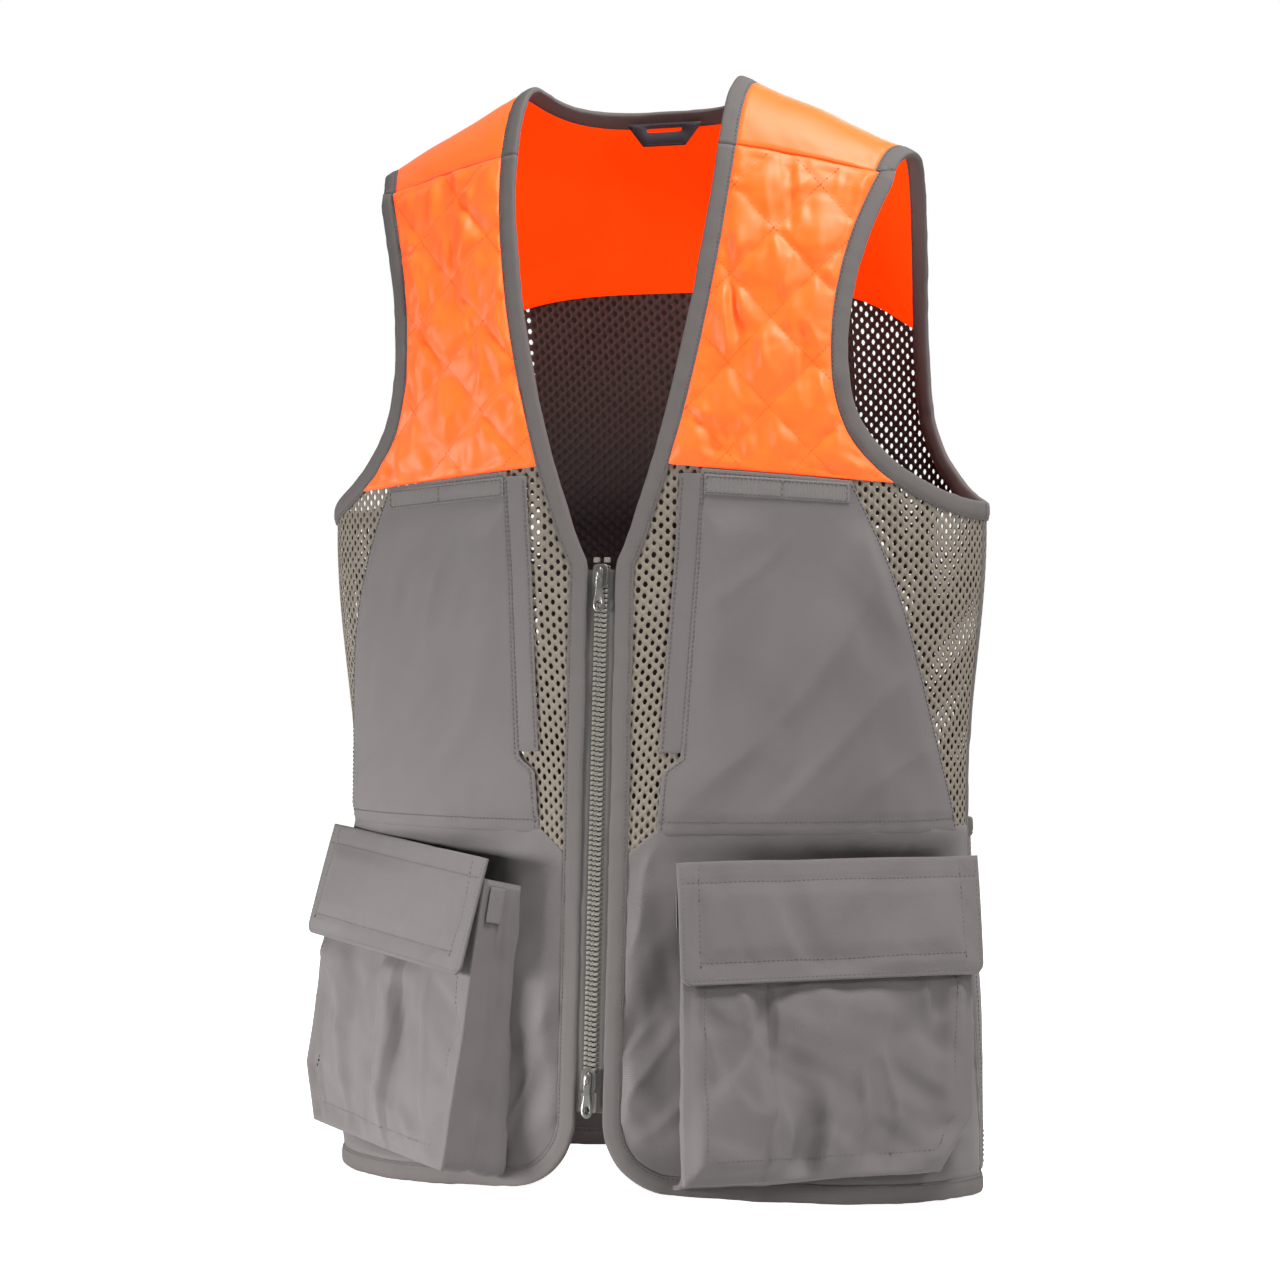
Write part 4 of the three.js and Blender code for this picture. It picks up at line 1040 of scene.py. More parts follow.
def pocket_frame():
    angles = np.linspace(0, QUARTER, 400)

    def reach(z):
        return (body(angles, z) @ FACING).max()

    girth = lengths(body(angles, 120)[None], 1)[0]
    start = body(np.interp(POCKET_GIRTH, girth, angles), 120) @ ALONG
    foot, top = reach(POCKET_Z[0]) + POCKET_DEPTH[0], reach(POCKET_Z[1]) + POCKET_DEPTH[1]
    origin = ALONG * start + FACING * foot + UP * POCKET_Z[0]
    up = FACING * (top - foot) + UP * (POCKET_Z[1] - POCKET_Z[0])
    height = np.linalg.norm(up)
    up = up / height
    out = np.cross(ALONG, up)
    return origin, up, out * np.sign(out @ FACING), height


POCKET_ORIGIN, POCKET_UP, POCKET_OUT, FACE_HEIGHT = pocket_frame()
CHAMFER = (24, 34)
STITCH_INSET = 13
FLAP_LINE, FLAP_OUT, FLAP_X, FLAP_WIDTH, FLAP_HEIGHT = 191.171, 4.4, (-4, 196), 200, 74


class Hang:
    """How a filled pocket hangs askew: moved, leaning and turned in its plane, pressed back at its foot."""

    def __init__(self, move, lean, turn, sink):
        self.move, self.lean, self.turn, self.sink = move, lean, math.radians(turn), sink

    def __call__(self, x, y, out):
        below = np.maximum(0, FLAP_LINE - y)
        slant = below * (self.lean / FLAP_LINE)
        back = self.sink * smooth(below / FLAP_LINE)
        return x + self.move - slant, y + x * math.sin(self.turn), out - back


HANGS = {1: Hang(-6, 9, 0, 12), -1: Hang(-3, 1, 3.4, 5)}
TUCKS = {1: 0.42, -1: 0.0}


def on_pocket(x, y, out=0.0, side=0):
    """Points from places on the pocket's plane, as it hangs on a side, or level when no side is given."""
    x, y, out = np.broadcast_arrays(np.asarray(x, float), np.asarray(y, float), np.asarray(out, float))
    if side:
        x, y, out = HANGS[side](x, y, out)
    return POCKET_ORIGIN + x[..., None] * ALONG + y[..., None] * POCKET_UP + out[..., None] * POCKET_OUT


def pocket_normal(p):
    return np.broadcast_to(POCKET_OUT, p.shape)


def face_place(side):
    def place(u, v):
        y = v * FACE_HEIGHT
        right = POCKET_WIDTH - CHAMFER[0] * np.clip(1 - y / CHAMFER[1], 0, 1)
        return on_pocket(u * right, y, 0, side)
    return place


def face_relief(side):
    """A filled pocket's belly, its pleat and folds, flattened where the flap lies over it."""
    def relief(u, v, p):
        x, y = u * POCKET_WIDTH, v * FACE_HEIGHT
        edge = np.minimum.reduce([x, POCKET_WIDTH - x, y])
        d = x - (PLEAT[side] * POCKET_WIDTH + 2.5 * noise(y / 60, 0, 12) + (1 - v) * 3)
        pleat = 4.2 * np.where(d > 0, np.exp(-d / 17), 0) * smooth((y + 6) / 30) * smooth(d / 0.8)
        pleat = pleat - 1.5 * near(d, 1.2)
        belly = 5.5 * np.sin(math.pi * np.clip(u, 0, 1)) ** 0.8 * np.sin(math.pi * (0.08 + 0.8 * v)) ** 1.2
        waves = folds_of(x, y, (0.12 * side, 24, 51 + side, 4.2), (-0.7 * side, 30, 61 + side, 3.0))
        small = folds_of(x, y, (1.1 * side, 12, 71 + side, 1.2))
        small = small + creases(x, y, 0.25 * side, 26, 75 + side) * 1.8
        seam = 0.5 * near(edge - STITCH_INSET, 1.3) + 0.35 * near(edge - 3, 1.2)
        gathers = puckers(edge - STITCH_INSET, x + y, 81 + side, 7, 6) * smooth(edge / 4) * 0.9
        strength = (1.5 if side > 0 else 1.0) * (0.15 + 0.85 * smooth(edge / 12))
        whole = belly + pleat + (waves + small) * strength + gathers - seam
        return mix(whole, np.clip(whole * 0.3, -1.5, 1.2), smooth((y - 104) / 24))
    return relief


def hit_depth(x, y, side):
    """How far behind the pocket's face the cloth of the vest lies."""
    near_side, far_side = np.zeros_like(x) - 6, np.zeros_like(x) + 140
    for _ in range(26):
        middle = (near_side + far_side) / 2
        inside = outside(on_pocket(x, y, -middle, side)) < 0
        far_side = np.where(inside, middle, far_side)
        near_side = np.where(inside, near_side, middle)
    p = on_pocket(x, y, -far_side, side)
    angle = np.arctan2(np.abs(p[..., 0]) / HALF_WIDTH[2], -p[..., 1] / FRONT_DEPTH)
    return far_side + press(angle, p[..., 2]) - 1.5


def build_gusset(name, side):
    """The wall from the pocket's face back to the vest, buckled as a bellows is."""
    width, height, (cut_x, cut_y) = POCKET_WIDTH, FACE_HEIGHT, CHAMFER
    outline = np.array([(0.8, height), (0.8, 1), (width - cut_x - 0.4, 1), (width - 0.8, cut_y),
                        (width - 0.8, height)])
    run = lengths(np.column_stack([outline, 0 * outline[:, 0]])[None], 1)[0]
    parts = [np.linspace(a, b, max(2, int((b - a) / 4)), endpoint=False) for a, b in zip(run, run[1:])]
    s = np.concatenate(parts + [run[-1:]])
    soft = along_line(s, run, outline)
    kernel = np.array([1, 2, 3, 2, 1]) / 9
    for k in (0, 1):
        soft[2:-2, k] = np.convolve(soft[:, k], kernel, "valid")
    depth = np.maximum(3, hit_depth(soft[:, 0], soft[:, 1], side))
    tangent = np.gradient(soft, axis=0)
    tangent /= np.linalg.norm(tangent, axis=-1, keepdims=True)
    outwards = np.stack([tangent[:, 1], -tangent[:, 0]], -1)
    w = cuts(30, 1.6, 0.5)[:, None]
    arch = np.sin(math.pi * w)
    bulge = 1.6 * arch * (0.8 + 0.5 * noise(s / 40, 0, 5 + side))
    bellows = -2.4 * np.exp(-((w - 0.5 - 0.08 * noise(s / 30, 0, 9)) / 0.12) ** 2) * smooth(depth / 22)
    wave = 0.9 * noise(s[None] / 17, w * 2.5, 3 + side) + 0.5 * noise(s[None] / 8, w * 5, 4 + side)
    off = (bulge + bellows + wave * arch) * smooth(depth / 14)
    xy = soft[None] + outwards[None] * off[..., None]
    tuck = TUCKS[side] * np.clip(-outwards[:, 0], 0, 1) * np.clip(1 - soft[:, 0] / 12, 0, 1)
    p = on_pocket(xy[..., 0] + w * (tuck * depth)[None], xy[..., 1], 1.6 - w * (depth[None] + 1.6), side)
    n = outwards[:, :1] * ALONG + outwards[:, 1:] * POCKET_UP
    return shell(name, p, np.broadcast_to(n[None], p.shape), 0.5, -0.9, "grey", 0.6, side)


FLARES = {1: math.radians(4.5), -1: math.radians(7)}
FLAP_CORNER = 7


def flap_place(side):
    """u from the inner edge outwards, v from the free edge, with its rounded corners, up to the hinge."""
    flare = FLARES[side]

    def place(u, v):
        down = (1 - v) * FLAP_HEIGHT
        below = np.maximum(0, FLAP_CORNER - v * FLAP_HEIGHT)
        round_off = FLAP_CORNER - np.sqrt(np.maximum(0, FLAP_CORNER ** 2 - below ** 2))
        x = mix(FLAP_X[0] + round_off, FLAP_X[1] - round_off, u)
        return on_pocket(x, FLAP_LINE - down * math.cos(flare), FLAP_OUT + down * math.sin(flare), side)
    return place


def flap_normal(side):
    flare = FLARES[side]
    out = POCKET_OUT * math.cos(flare) + POCKET_UP * math.sin(flare)
    return lambda p: np.broadcast_to(out, p.shape)


def flap_relief(side):
    """A flap padded inside its stitched border, with long folds and a wavy free edge."""
    def relief(u, v, p):
        x, y = u * FLAP_WIDTH, v * FLAP_HEIGHT
        edge = np.minimum.reduce([x, FLAP_WIDTH - x, y])
        top = FLAP_HEIGHT - y
        pillow = 1.6 * smooth((edge - STITCH_INSET) / 10) * smooth((top - STITCH_INSET) / 10)
        waves = folds_of(x, y, (-0.9 * side, 34, 91 + side, 3.2), (0.4, 18, 95 + side, 1.7))
        sag = 2.2 * (1 - v) * noise(u * 2.6, 0, 99 + side)
        lines = 0.55 * near(edge - STITCH_INSET, 1.1) + 0.45 * near(edge - 2.4, 0.9)
        lines = lines + 0.5 * near(top - STITCH_INSET, 1.1) * (edge > 2)
        gathers = puckers(edge - STITCH_INSET, x + y, 101 + side, 5, 5) * smooth(edge / 3) * 0.7
        return pillow + waves * smooth(edge / 10) + sag + gathers - lines
    return relief


# ---------------------------------------------------------------- the zip
ZIP_ORIGIN = np.array([0, -137.475, 0])
ZIP_UP, ZIP_OUT = np.array([0, 0.07479, 0.9972]), np.array([0, -0.9972, 0.07479])


def on_zip(rings):
    """From (x, along the zip, out of it) to points."""
    return ZIP_ORIGIN + rings[..., :1] * [1, 0, 0] + rings[..., 1:2] * ZIP_UP + rings[..., 2:] * ZIP_OUT


def zip_span(foot_node, top_node):
    """The distances along the zip from the foot of one CAD node to the top of another."""
    foot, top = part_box(foot_node)[0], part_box(top_node)[1]
    return foot[2] / MM / ZIP_UP[2], top[2] / MM / ZIP_UP[2]


TOOTH_PITCH, TOOTH_ROOT, TOOTH_REACH = 3.05, 3.9, 1.25
HALF_TOOTH = np.array([(TOOTH_ROOT, -1.15), (1.8, -1.1), (1.0, -0.55), (0.3, -0.6), (-0.5, -1.05),
                       (-TOOTH_REACH, -0.6)])
TOOTH = np.concatenate([HALF_TOOTH, HALF_TOOTH[::-1] * [1, -1]])
TOOTH_LAYERS = [(-1.35, 0.7), (-1.1, 1), (1.1, 1), (1.35, 0.7)]


def build_teeth(name, side):
    """A row of teeth, half a pitch out of step with the other side's."""
    foot, top = zip_span(name, name)
    middles = np.arange(foot + (0 if side > 0 else TOOTH_PITCH / 2), top, TOOTH_PITCH)
    centre = TOOTH.mean(0)
    one = np.array([np.column_stack([centre + (TOOTH - centre) * grow, np.full(len(TOOTH), out)])
                    for out, grow in TOOTH_LAYERS])
    layers, count = one.shape[:2]
    many = one[None] + np.stack([0 * middles, middles, 0 * middles], -1)[:, None, None]
    base = np.arange(len(middles)) * layers * count
    faces = (ring_quads(layers, count)[None] + base[:, None, None]).reshape(-1, 4).tolist()
    for b in base.tolist():
        faces += [[b + k for k in range(count)][::-1], [b + (layers - 1) * count + k for k in range(count)]]
    made = add_mesh(name, world(on_zip(many.reshape(-1, 3)), side), faces, "zip_teeth")
    fix_winding(made)
    return made


def zip_tape_place(span):
    def place(u, v):
        out = mix(-2.2, -0.7, smooth(u / 0.25)) - 1.2 * smooth((u - 0.45) / 0.55)
        return on_zip(np.stack(np.broadcast_arrays(mix(0.25, 15, u), mix(span[0], span[1], v), out), -1))
    return place


def zip_normal(p):
    return np.broadcast_to(ZIP_OUT, p.shape)


SLIDER_OUTLINE = np.array([(-3.6, 0), (3.6, 0), (4.3, 1.5), (4.6, 5), (5, 10), (4.4, 13),
                           (2.4, 14), (-2.4, 14), (-4.4, 13), (-5, 10), (-4.6, 5), (-4.3, 1.5)])


def build_slider(name, foot, upside):
    """Two plates joined by a post at the wide end, and a bail that the pull hangs from."""
    outline = SLIDER_OUTLINE.copy()
    if not upside:
        outline[:, 1] = 14 - outline[:, 1]
    outline[:, 1] += foot
    wide = 11.5 if upside else 2.5
    parts = [plate(name + "_back", outline, (-3.4, -2.1), "metal", on_zip),
             plate(name + "_plate", outline, (2.1, 3.4), "metal", on_zip),
             plate(name + "_post", rounded(2.4, 3, 0.8, (0, foot + wide)), (-2.5, 2.5), "metal", on_zip)]
    for x in (-4.5, 4.5):
        rail = rounded(0.9, 9, 0.3, (x, foot + 7))
        parts.append(plate(name + "_rail", rail, (1.2, 2.6), "metal", on_zip, bevel=0.15))
    turn = np.linspace(0, math.pi, 14)
    arch = np.stack([0 * turn, foot + 8.2 + 3.9 * np.cos(turn), 3.2 + 2.6 * np.sin(turn)], -1)
    ring = np.arange(8) * math.pi / 4
    spokes = np.stack([0 * turn, np.cos(turn), np.sin(turn)], -1)
    bail = arch[:, None] + spokes[:, None] * (0.55 * np.cos(ring))[None, :, None]
    bail = bail + np.array([1.0, 0, 0]) * (1.3 * np.sin(ring))[None, :, None]
    parts.append(tube(name + "_bail", on_zip(bail), "metal"))
    return join(name, parts)


def loop_points(points, count=28):
    """A closed outline resampled to evenly spaced points."""
    points = np.vstack([points, points[:1]])
    run = np.concatenate([[0], np.cumsum(np.linalg.norm(np.diff(points, axis=0), axis=-1))])
    s = np.arange(count) * run[-1] / count
    return np.stack([np.interp(s, run, points[:, k]) for k in (0, 1)], -1)


def build_pull(name, top):
    """A flat tongue widening to a ring, with a small eye for the bail at its top."""
    y = np.array([0, 1.2, 5, 11, 17, 21, 24.5, 26.4, 27])
    half = np.array([1.7, 2.3, 2.3, 2.0, 2.7, 3.7, 3.4, 2.0, 0.8])
    right = np.column_stack([half, top - y])
    left = np.column_stack([-half, top - y])[::-1]
    outline = loop_points(np.vstack([right, left]), 40)
    turn = np.arange(40) * 2 * math.pi / 40
    start = math.atan2(*(outline[0] - outline.mean(0))[::-1])
    hole = np.column_stack([1.9 * np.cos(start - turn), 2.5 * np.sin(start - turn) + top - 22.2])
    ring = plate(name, outline, (3.9, 5.1), "metal", on_zip, hole, 0.25)
    lip = plate(name + "_lip", rounded(3.4, 6.5, 0.8, (0, top - 9.5)), (5.0, 5.5), "metal", on_zip, bevel=0.2)
    return join(name, [ring, lip])


# ---------------------------------------------------------------- fronts
def build_front(name, side):
    """One half of the front: patch, panels, mesh and the tapes along its edges, then its pocket and zip."""
    upper, ride, side_blend = name + "_upper", name + "_front", name + "_side"
    own = (name + "_{}").format

    patch = Cloth(patch_place, PATCH_SIZE, 1.6, -2.2, side, quilt(side))
    settled(patch, quilt_pins(side), 2.6, (-1.2, 6), wider=(1.09, 1.03), pressure=0.6, bending=0.4)
    lay(patch, own("shoulder_patch"), "blaze", 2.2, upper)
    sew(own("quilting"), quilt_paths(patch, side), upper, "blaze_fabric", "thread_blaze",
        pitch=2.6, length=1.7, radius=0.3)
    lower = Cloth(from_front_edge(hem_edge, waist_seam), LOWER_SIZE, 0.9, -1.6, side, lower_relief(side))
    lay(lower, own("lower_front_panel"), "grey", 3.2, side_blend)

    chest = Cloth(chest_place, CHEST_SIZE, 2.5, 1.0, side, chest_relief(side))
    lay(chest, own("chest_panel"), "grey", 3.4, side_blend)
    lines = chest.inset(2.2, sides="left right top") + [chest.line((0.0, 0.035), (1, 0.035))]
    sew(own("chest_stitches"), lines, side_blend, "grey_fabric")
    facing = Cloth(facing_place, (15, 158), 2.1, 0.8, side)
    lay(facing, own("chest_pocket_facing"), "grey", 2.5, ride)
    sew(own("facing_stitches"), facing.inset(1.8, sides="left right"), ride, "grey_fabric")
    band = Cloth(band_place, (95, 13), 3.5, 2.2, side)
    lay(band, own("chest_band"), "webbing", 1.6, ride)
    lines = band.inset(1.5, sides="foot top left right") + [band.line((0.55, 0.1), (0.55, 0.9))]
    sew(own("band_stitches"), lines, ride, "webbing", pitch=2.6)

    angles = (0.02, side_angle(GIRTH_Z))
    net = lattice(own("front_mesh"), angles, (212, 462), front_mesh_inside, side, seed=5 + side)
    attach(net, side_blend, "mesh_fabric", own("front_mesh"))

    edge = Edge([front_edge_path, neck_path], into_front, side)
    bind(edge, own("front_edge_binding"), own("front_edge_stitches"), upper, slice(0, edge.joins[0] + 1), 2.8)
    arm = Edge([front_arm_path, back_arm_path], into_side, side)
    for half, carrier, part in (("front", upper, slice(0, arm.joins[0] + 1)),
                                ("back", "back_body", slice(arm.joins[0], None))):
        whole = own(half + "_armhole_")
        bind(arm, whole + "binding", whole + "stitches", carrier, part, 2.8)
    build_pocket(own, side, ride)
    build_zip(own, side, ride)


def build_pocket(own, side, ride):
    """A cargo pocket: its face and wall, its flap, the tab at its side and the hook-and-loop tapes."""
    def flat(place, size, high, low, normal):
        return Cloth(place, size, high, low, side, None, normal, False)

    def loop_place(u, v):
        return on_pocket(mix(12, 180, u), FACE_HEIGHT - mix(34, 12, v), 3.4, side)

    def tab_place(u, v):
        across = mix(TUCKS[side] * 12, 0, u) - 1.6
        return on_pocket(across, FACE_HEIGHT - mix(26, 4, v), mix(-12, -1, u), side)

    def hook_place(u, v):
        return flap_place(side)(mix(0.1, 0.9, u), 1 - mix(48, 26, v) / FLAP_HEIGHT)

    size = (POCKET_WIDTH, FACE_HEIGHT)
    face = Cloth(face_place(side), size, 3.0, 0.0, side, face_relief(side), pocket_normal, False)
    settled(face, face_pins(side), 3.6, (-2.5, 7), wider=(1.1, 1.03), pressure=0.1, bending=0.4)
    lay(face, own("pocket_face"), "grey", 2.6, ride)
    attach(build_gusset(own("pocket_gusset"), side), ride, "grey_fabric", own("pocket_gusset"))
    sew(own("pocket_stitches"), face.inset(STITCH_INSET, sides="left right foot"), ride, "grey_fabric")
    lay(flat(loop_place, (168, 22), 1.2, 0, pocket_normal), own("pocket_loop_tape"), "hook", 3, ride)
    tab = flat(tab_place, (11, 22), 0.7, -0.7, lambda p: np.broadcast_to(-ALONG, p.shape))
    lay(tab, own("pocket_side_tab"), "webbing", 1.5, ride)

    size = (FLAP_WIDTH, FLAP_HEIGHT)
    flap = Cloth(flap_place(side), size, 2.6, 0, side, flap_relief(side), flap_normal(side), False)
    lay(flap, own("flap"), "grey", 2.2, own("flap"), 1.3)
    lines = flap.inset(2.4, sides="left foot right")
    lines += flap.inset(STITCH_INSET, v=(-0.05, 1.13), sides="left right")
    lines += flap.inset(STITCH_INSET, sides="foot")
    lines += flap.inset(STITCH_INSET, u=(-0.055, 1.055), sides="top")
    sew(own("flap_stitches"), lines, own("flap"), "grey_fabric")
    hook = flat(hook_place, (160, 22), 0.0, -1.3, flap_normal(side))
    lay(hook, own("flap_hook_tape"), "hook", 3, own("flap"))


def build_zip(own, side, ride):
    """One side of the zip: its teeth, the tape they are set in, the top stop and the pin."""
    attach(build_teeth(own("zip_teeth"), side), ride, "zip_teeth", own("zip_teeth"))
    span = zip_span(own("zip_pin"), own("zip_tape"))
    size = (12.6, span[1] - span[0])
    tape = Cloth(zip_tape_place(span), size, 0.5, -0.5, side, None, zip_normal, False)
    lay(tape, own("zip_tape"), "zip_tape", 2.5, ride)
    sew(own("zip_stitches"), [tape.line((0.62, 0.003), (0.62, 0.997))], ride, "zip_tape")
    for piece, corner in (("zip_top_stop", 0.5), ("zip_pin", 0.7)):
        foot, top = zip_span(own(piece), own(piece))
        left, right = (corner_point[0] / MM for corner_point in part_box(own(piece)))
        middle = ((left + right) / 2, (foot + top) / 2)
        outline = rounded(right - left, top - foot, corner, middle)
        made = plate(own(piece), outline, (-1.5, 1.5), "zip_teeth", on_zip)
        attach(made, ride, "slider_metal", own(piece))


def lower_relief(side):
    """Wide sagging folds that fade out toward the lower panel's seams."""
    def relief(u, v, p):
        x, z = p[..., 0], p[..., 2]
        edge = to_edges(u, v, LOWER_SIZE)
        big = folds_of(x, z, (-0.75, 36, 111 + side, 5.5), (0.9, 24, 115 + side, 2.6))
        small = folds_of(x, z, (0.2, 12, 119 + side, 1.2)) + creases(x, z, -0.6 * side, 30, 123 + side) * 2.2
        return (big + small) * smooth(edge / 26) + puckers(edge, x + z, 121 + side, 9, 6) * smooth(edge / 3)
    return relief


def chest_relief(side):
    """Folds that fade out toward the chest panel's edges, over the gathered hem at its foot."""
    def relief(u, v, p):
        x, z = p[..., 0], p[..., 2]
        edge, up = to_edges(u, v, CHEST_SIZE, "left right top"), v * CHEST_SIZE[1]
        flat = np.minimum(edge, CHEST_SIZE[1] - up - 18)
        big = folds_of(x, z, (-0.5, 44, 131 + side, 3.6), (0.7, 26, 135 + side, 1.7),
                       (0.2, 12, 139 + side, 0.6))
        big = 2.2 + big + creases(x, z, -0.8 * side, 34, 137 + side) * 1.3
        raised = big * smooth(flat / 22) * smooth(v * 6)
        raised = np.where(raised < 0, -0.5 * (1 - np.exp(raised / 0.5)), raised)
        seam = up - 7.4
        hem = puckers(seam, x, 141 + side, 12, 7) * 1.4 - 0.6 * near(seam, 1.2) - 1.3 * (1 - smooth(up / 12))
        return raised + hem + puckers(edge, x + z, 145 + side, 6, 6) * smooth(edge / 3) * 0.6
    return relief


def facing_place(u, v):
    z = mix(278, 449, v)
    x = chest_inner_x(z) + 2 - 15.5 * (1 - u)
    return body(angle_at(x, z), z)


def band_place(u, v):
    z = mix(430, 442.5, v) + 6 * (1 - u)
    x = mix(chest_inner_x(z) + 2, 150, u)
    return body(angle_at(x, z), z)


def quilt_paths(patch, side):
    """The stitched diamonds as paths over the patch, cut where they meet its edges."""
    u, v = np.meshgrid(np.linspace(0, 1, 90), np.linspace(0, 1, 140))
    grid = patch.place(u, v)
    paths = []
    for family in quilt_lines(grid[..., 0], grid[..., 2], side)[1]:
        for number in range(math.ceil(family.min()), math.floor(family.max()) + 1):
            met = (family[:, 0] < number) & (number < family[:, -1])
            if met.sum() < 4:
                continue
            across = [np.interp(number, row, u[0]) for row in family[met]]
            rows = v[met, 0]
            up = np.linspace(max(rows[0], 0.012), min(rows[-1], 0.988), 200)
            paths.append(patch.surface(np.interp(up, rows, across), up, 0.05))
    return paths


# Edges as paths, and the ways that lead from them into the cloth.
def front_edge_path(t):
    a, z = hem_edge(np.clip(1 - t / 0.4, 0, 1))
    low = body(a, z)
    z = mix(float(hem_edge(np.array(0.0))[1]), float(yoke_seam_z(NECK_X)), np.clip((t - 0.4) / 0.6, 0, 1))
    high = body(angle_at(front_edge_x(z), z), z)
    return np.where((t < 0.4)[..., None], low, high)


def into_front(p):
    """From the front edge and the neckline, the way that leads into the cloth."""
    rise = np.clip((200 - p[:, 2]) / 60, 0, 1) - np.clip((p[:, 2] - 600) / 40, 0, 1)
    return np.stack([1 + 0 * rise, 0 * rise, rise], -1)


def neck_path(t):
    return shoulder(*yoke_inner(t))


def into_side(p):
    fall = np.clip((520 - p[:, 2]) / 60, 0, 1)
    return np.stack([-1 + 0 * fall, 0 * fall, -fall], -1)


def front_arm_path(t):
    return body(*armhole(mix(0.0002, armhole_share(float(yoke_seam_z(ARM_X))), t), True))


def back_arm_path(t):
    """From the front end of the yoke over the shoulder and down to the underarm."""
    x, turn = yoke_outer(0.25 * np.clip(t / 0.2, 0, 1))
    low = body(*armhole(mix(1, 0.0002, np.clip((t - 0.2) / 0.8, 0, 1)), False))
    return np.where((t < 0.2)[..., None], shoulder(x, turn), low)


for _name, _side in (("left", 1), ("right", -1)):
    build_front(_name, _side)


# ---------------------------------------------------------------- back
def back_at(foot, top):
    def place(u, v):
        z = mix(foot, top, v)
        a = side_angle(z, False)
        return body(mix(a, 2 * math.pi - a, u), z)
    return place


def back_relief(u, v, p):
    x, z = p[..., 0], p[..., 2]
    edge = to_edges(u, v, (560, 218))
    drawn = folds_of(x, z, (0.3, 40, 151, 1.2)) * smooth(edge / 30)
    return drawn + puckers(edge, x, 155, 9, 6) * smooth(edge / 3)


def painted_shade_sheet_place(u, v):
    """A near-black sheet of painted shade in the middle of the back, set in the thickness of the mesh."""
    wide = mix(-PAINTED_SHADE_SHEET_HALF, PAINTED_SHADE_SHEET_HALF, u)
    z = mix(WAIST_SEAM_Z - 2, yoke_foot_z(wide) + 2, v)
    return body(math.pi - np.sign(wide) * angle_at(wide, z), z)


def pouch_place(u, v):
    return body(np.radians(mix(97, 263, u)), mix(13, 224, v))


def pouch_swell(u, v):
    """How far the game pouch stands off the back, most near its middle."""
    across = np.sin(math.pi * np.clip(u, 0, 1)) ** 0.7
    up = np.sin(math.pi * np.clip(0.93 * v + 0.02, 0, 1)) ** 0.7
    return 1.3 + 2.1 * smooth(np.minimum(u, 1 - u) * 30) + 17 * across * up


def pouch_relief(u, v, p):
    x, z = p[..., 0], p[..., 2]
    edge = to_edges(u, v, POUCH_SIZE, "left right foot")
    drawn = folds_of(x, z, (0.2, 46, 161, 2.0), (-0.8, 30, 165, 1.1)) * smooth(edge / 30)
    return pouch_swell(u, v) + drawn + puckers(edge, x + z, 169, 10, 6) * smooth(edge / 4)


def build_back():
    yoke = Cloth(yoke_place, YOKE_SIZE, 1.6, -2.0, 1, yoke_relief)
    made = yoke.build("back_yoke", "blaze", 3.2, under=yoke_band)
    # The inner half of the yoke's faces takes the painted-shade copy of the orange.
    made.data.materials.append(MATERIALS["blaze_painted_shade"])
    count = len(made.data.polygons)
    made.data.polygons.foreach_set("material_index", (np.arange(count) >= count // 2).astype(np.int32))
    attach(made, "back_body", "blaze_fabric", "back_yoke")
    t = np.linspace(0.3, 0.7, 260)
    foot = [yoke.surface(t, np.full_like(t, 0.975))]
    sew("yoke_stitches", foot, "back_body", "blaze_fabric", "thread_blaze")

    reach = side_angle(GIRTH_Z)
    net = lattice("back_mesh", (math.pi - reach, math.pi + reach), (227, 590), back_mesh_inside, 1, seed=3)
    attach(net, "back_body", "mesh_fabric", "back_mesh")
    # A near-black sheet of painted shade inside the back mesh, darkening its holes.
    painted_shade_sheet = Cloth(painted_shade_sheet_place, (220, 350), 0.1, -0.1)
    attach(painted_shade_sheet.build("back_mesh_painted_shade_sheet", "painted_shade_sheet", 6, 0.1), "back_body", "mesh_fabric")
    panel = Cloth(back_at(HEM_Z, 230.5), (560, 219), 0.9, -1.2, 1, back_relief)
    lay(panel, "back_lower_panel", "grey", 4, "back_body")
    sew("waist_stitches", [panel.line((0, 0.985), (1, 0.985), count=600)], "back_body", "grey_fabric")
    pouch = Cloth(pouch_place, POUCH_SIZE, 0.7, -0.7, 1, pouch_relief)
    lay(pouch, "game_pouch", "grey", 3.6, "back_body")
    sew("pouch_stitches", pouch.inset(4, sides="left right foot"), "back_body", "grey_fabric")

    def pouch_top(t):
        top = np.ones_like(t)
        p = pouch_place(t, top)
        return p + normal_at(p) * pouch_swell(t, top)[..., None]

    def hem(t):
        a = side_angle(HEM_Z, False)
        return body(mix(a, 2 * math.pi - a, t), HEM_Z)

    top = Edge([pouch_top], lambda p: np.broadcast_to([0, 0, -1.0], p.shape))
    attach(top.tape("game_pouch_binding"), "back_body", "binding_fabric", "game_pouch_binding")
    sew("pouch_binding_stitches", top.threads()[:1], "back_body", "binding_fabric")
    foot = Edge([hem], lambda p: np.broadcast_to([0, 0, 1.0], p.shape), level=True)
    bind(foot, "back_hem_binding", "hem_stitches", "back_body")
    build_neck()
    build_label()


def build_neck():
    """The tape round the neck, in one piece from one front seam of the yoke to the other."""
    necks = [Edge([front_edge_path, neck_path], into_front, side) for side in (1, -1)]
    start = necks[0].joins[0]
    pairs = zip(*(half.rings() for half in necks))
    rings, cloth = (np.concatenate([left[start:], right[start:-1][::-1]]) for left, right in pairs)
    made = tube("back_neck_binding", rings, "binding", cloth)
    attach(made, "back_body", "binding_fabric", "back_neck_binding")
    lines = [line for half in necks for line in half.threads(slice(start, None))]
    sew("neck_stitches", lines, "back_body", "binding_fabric")


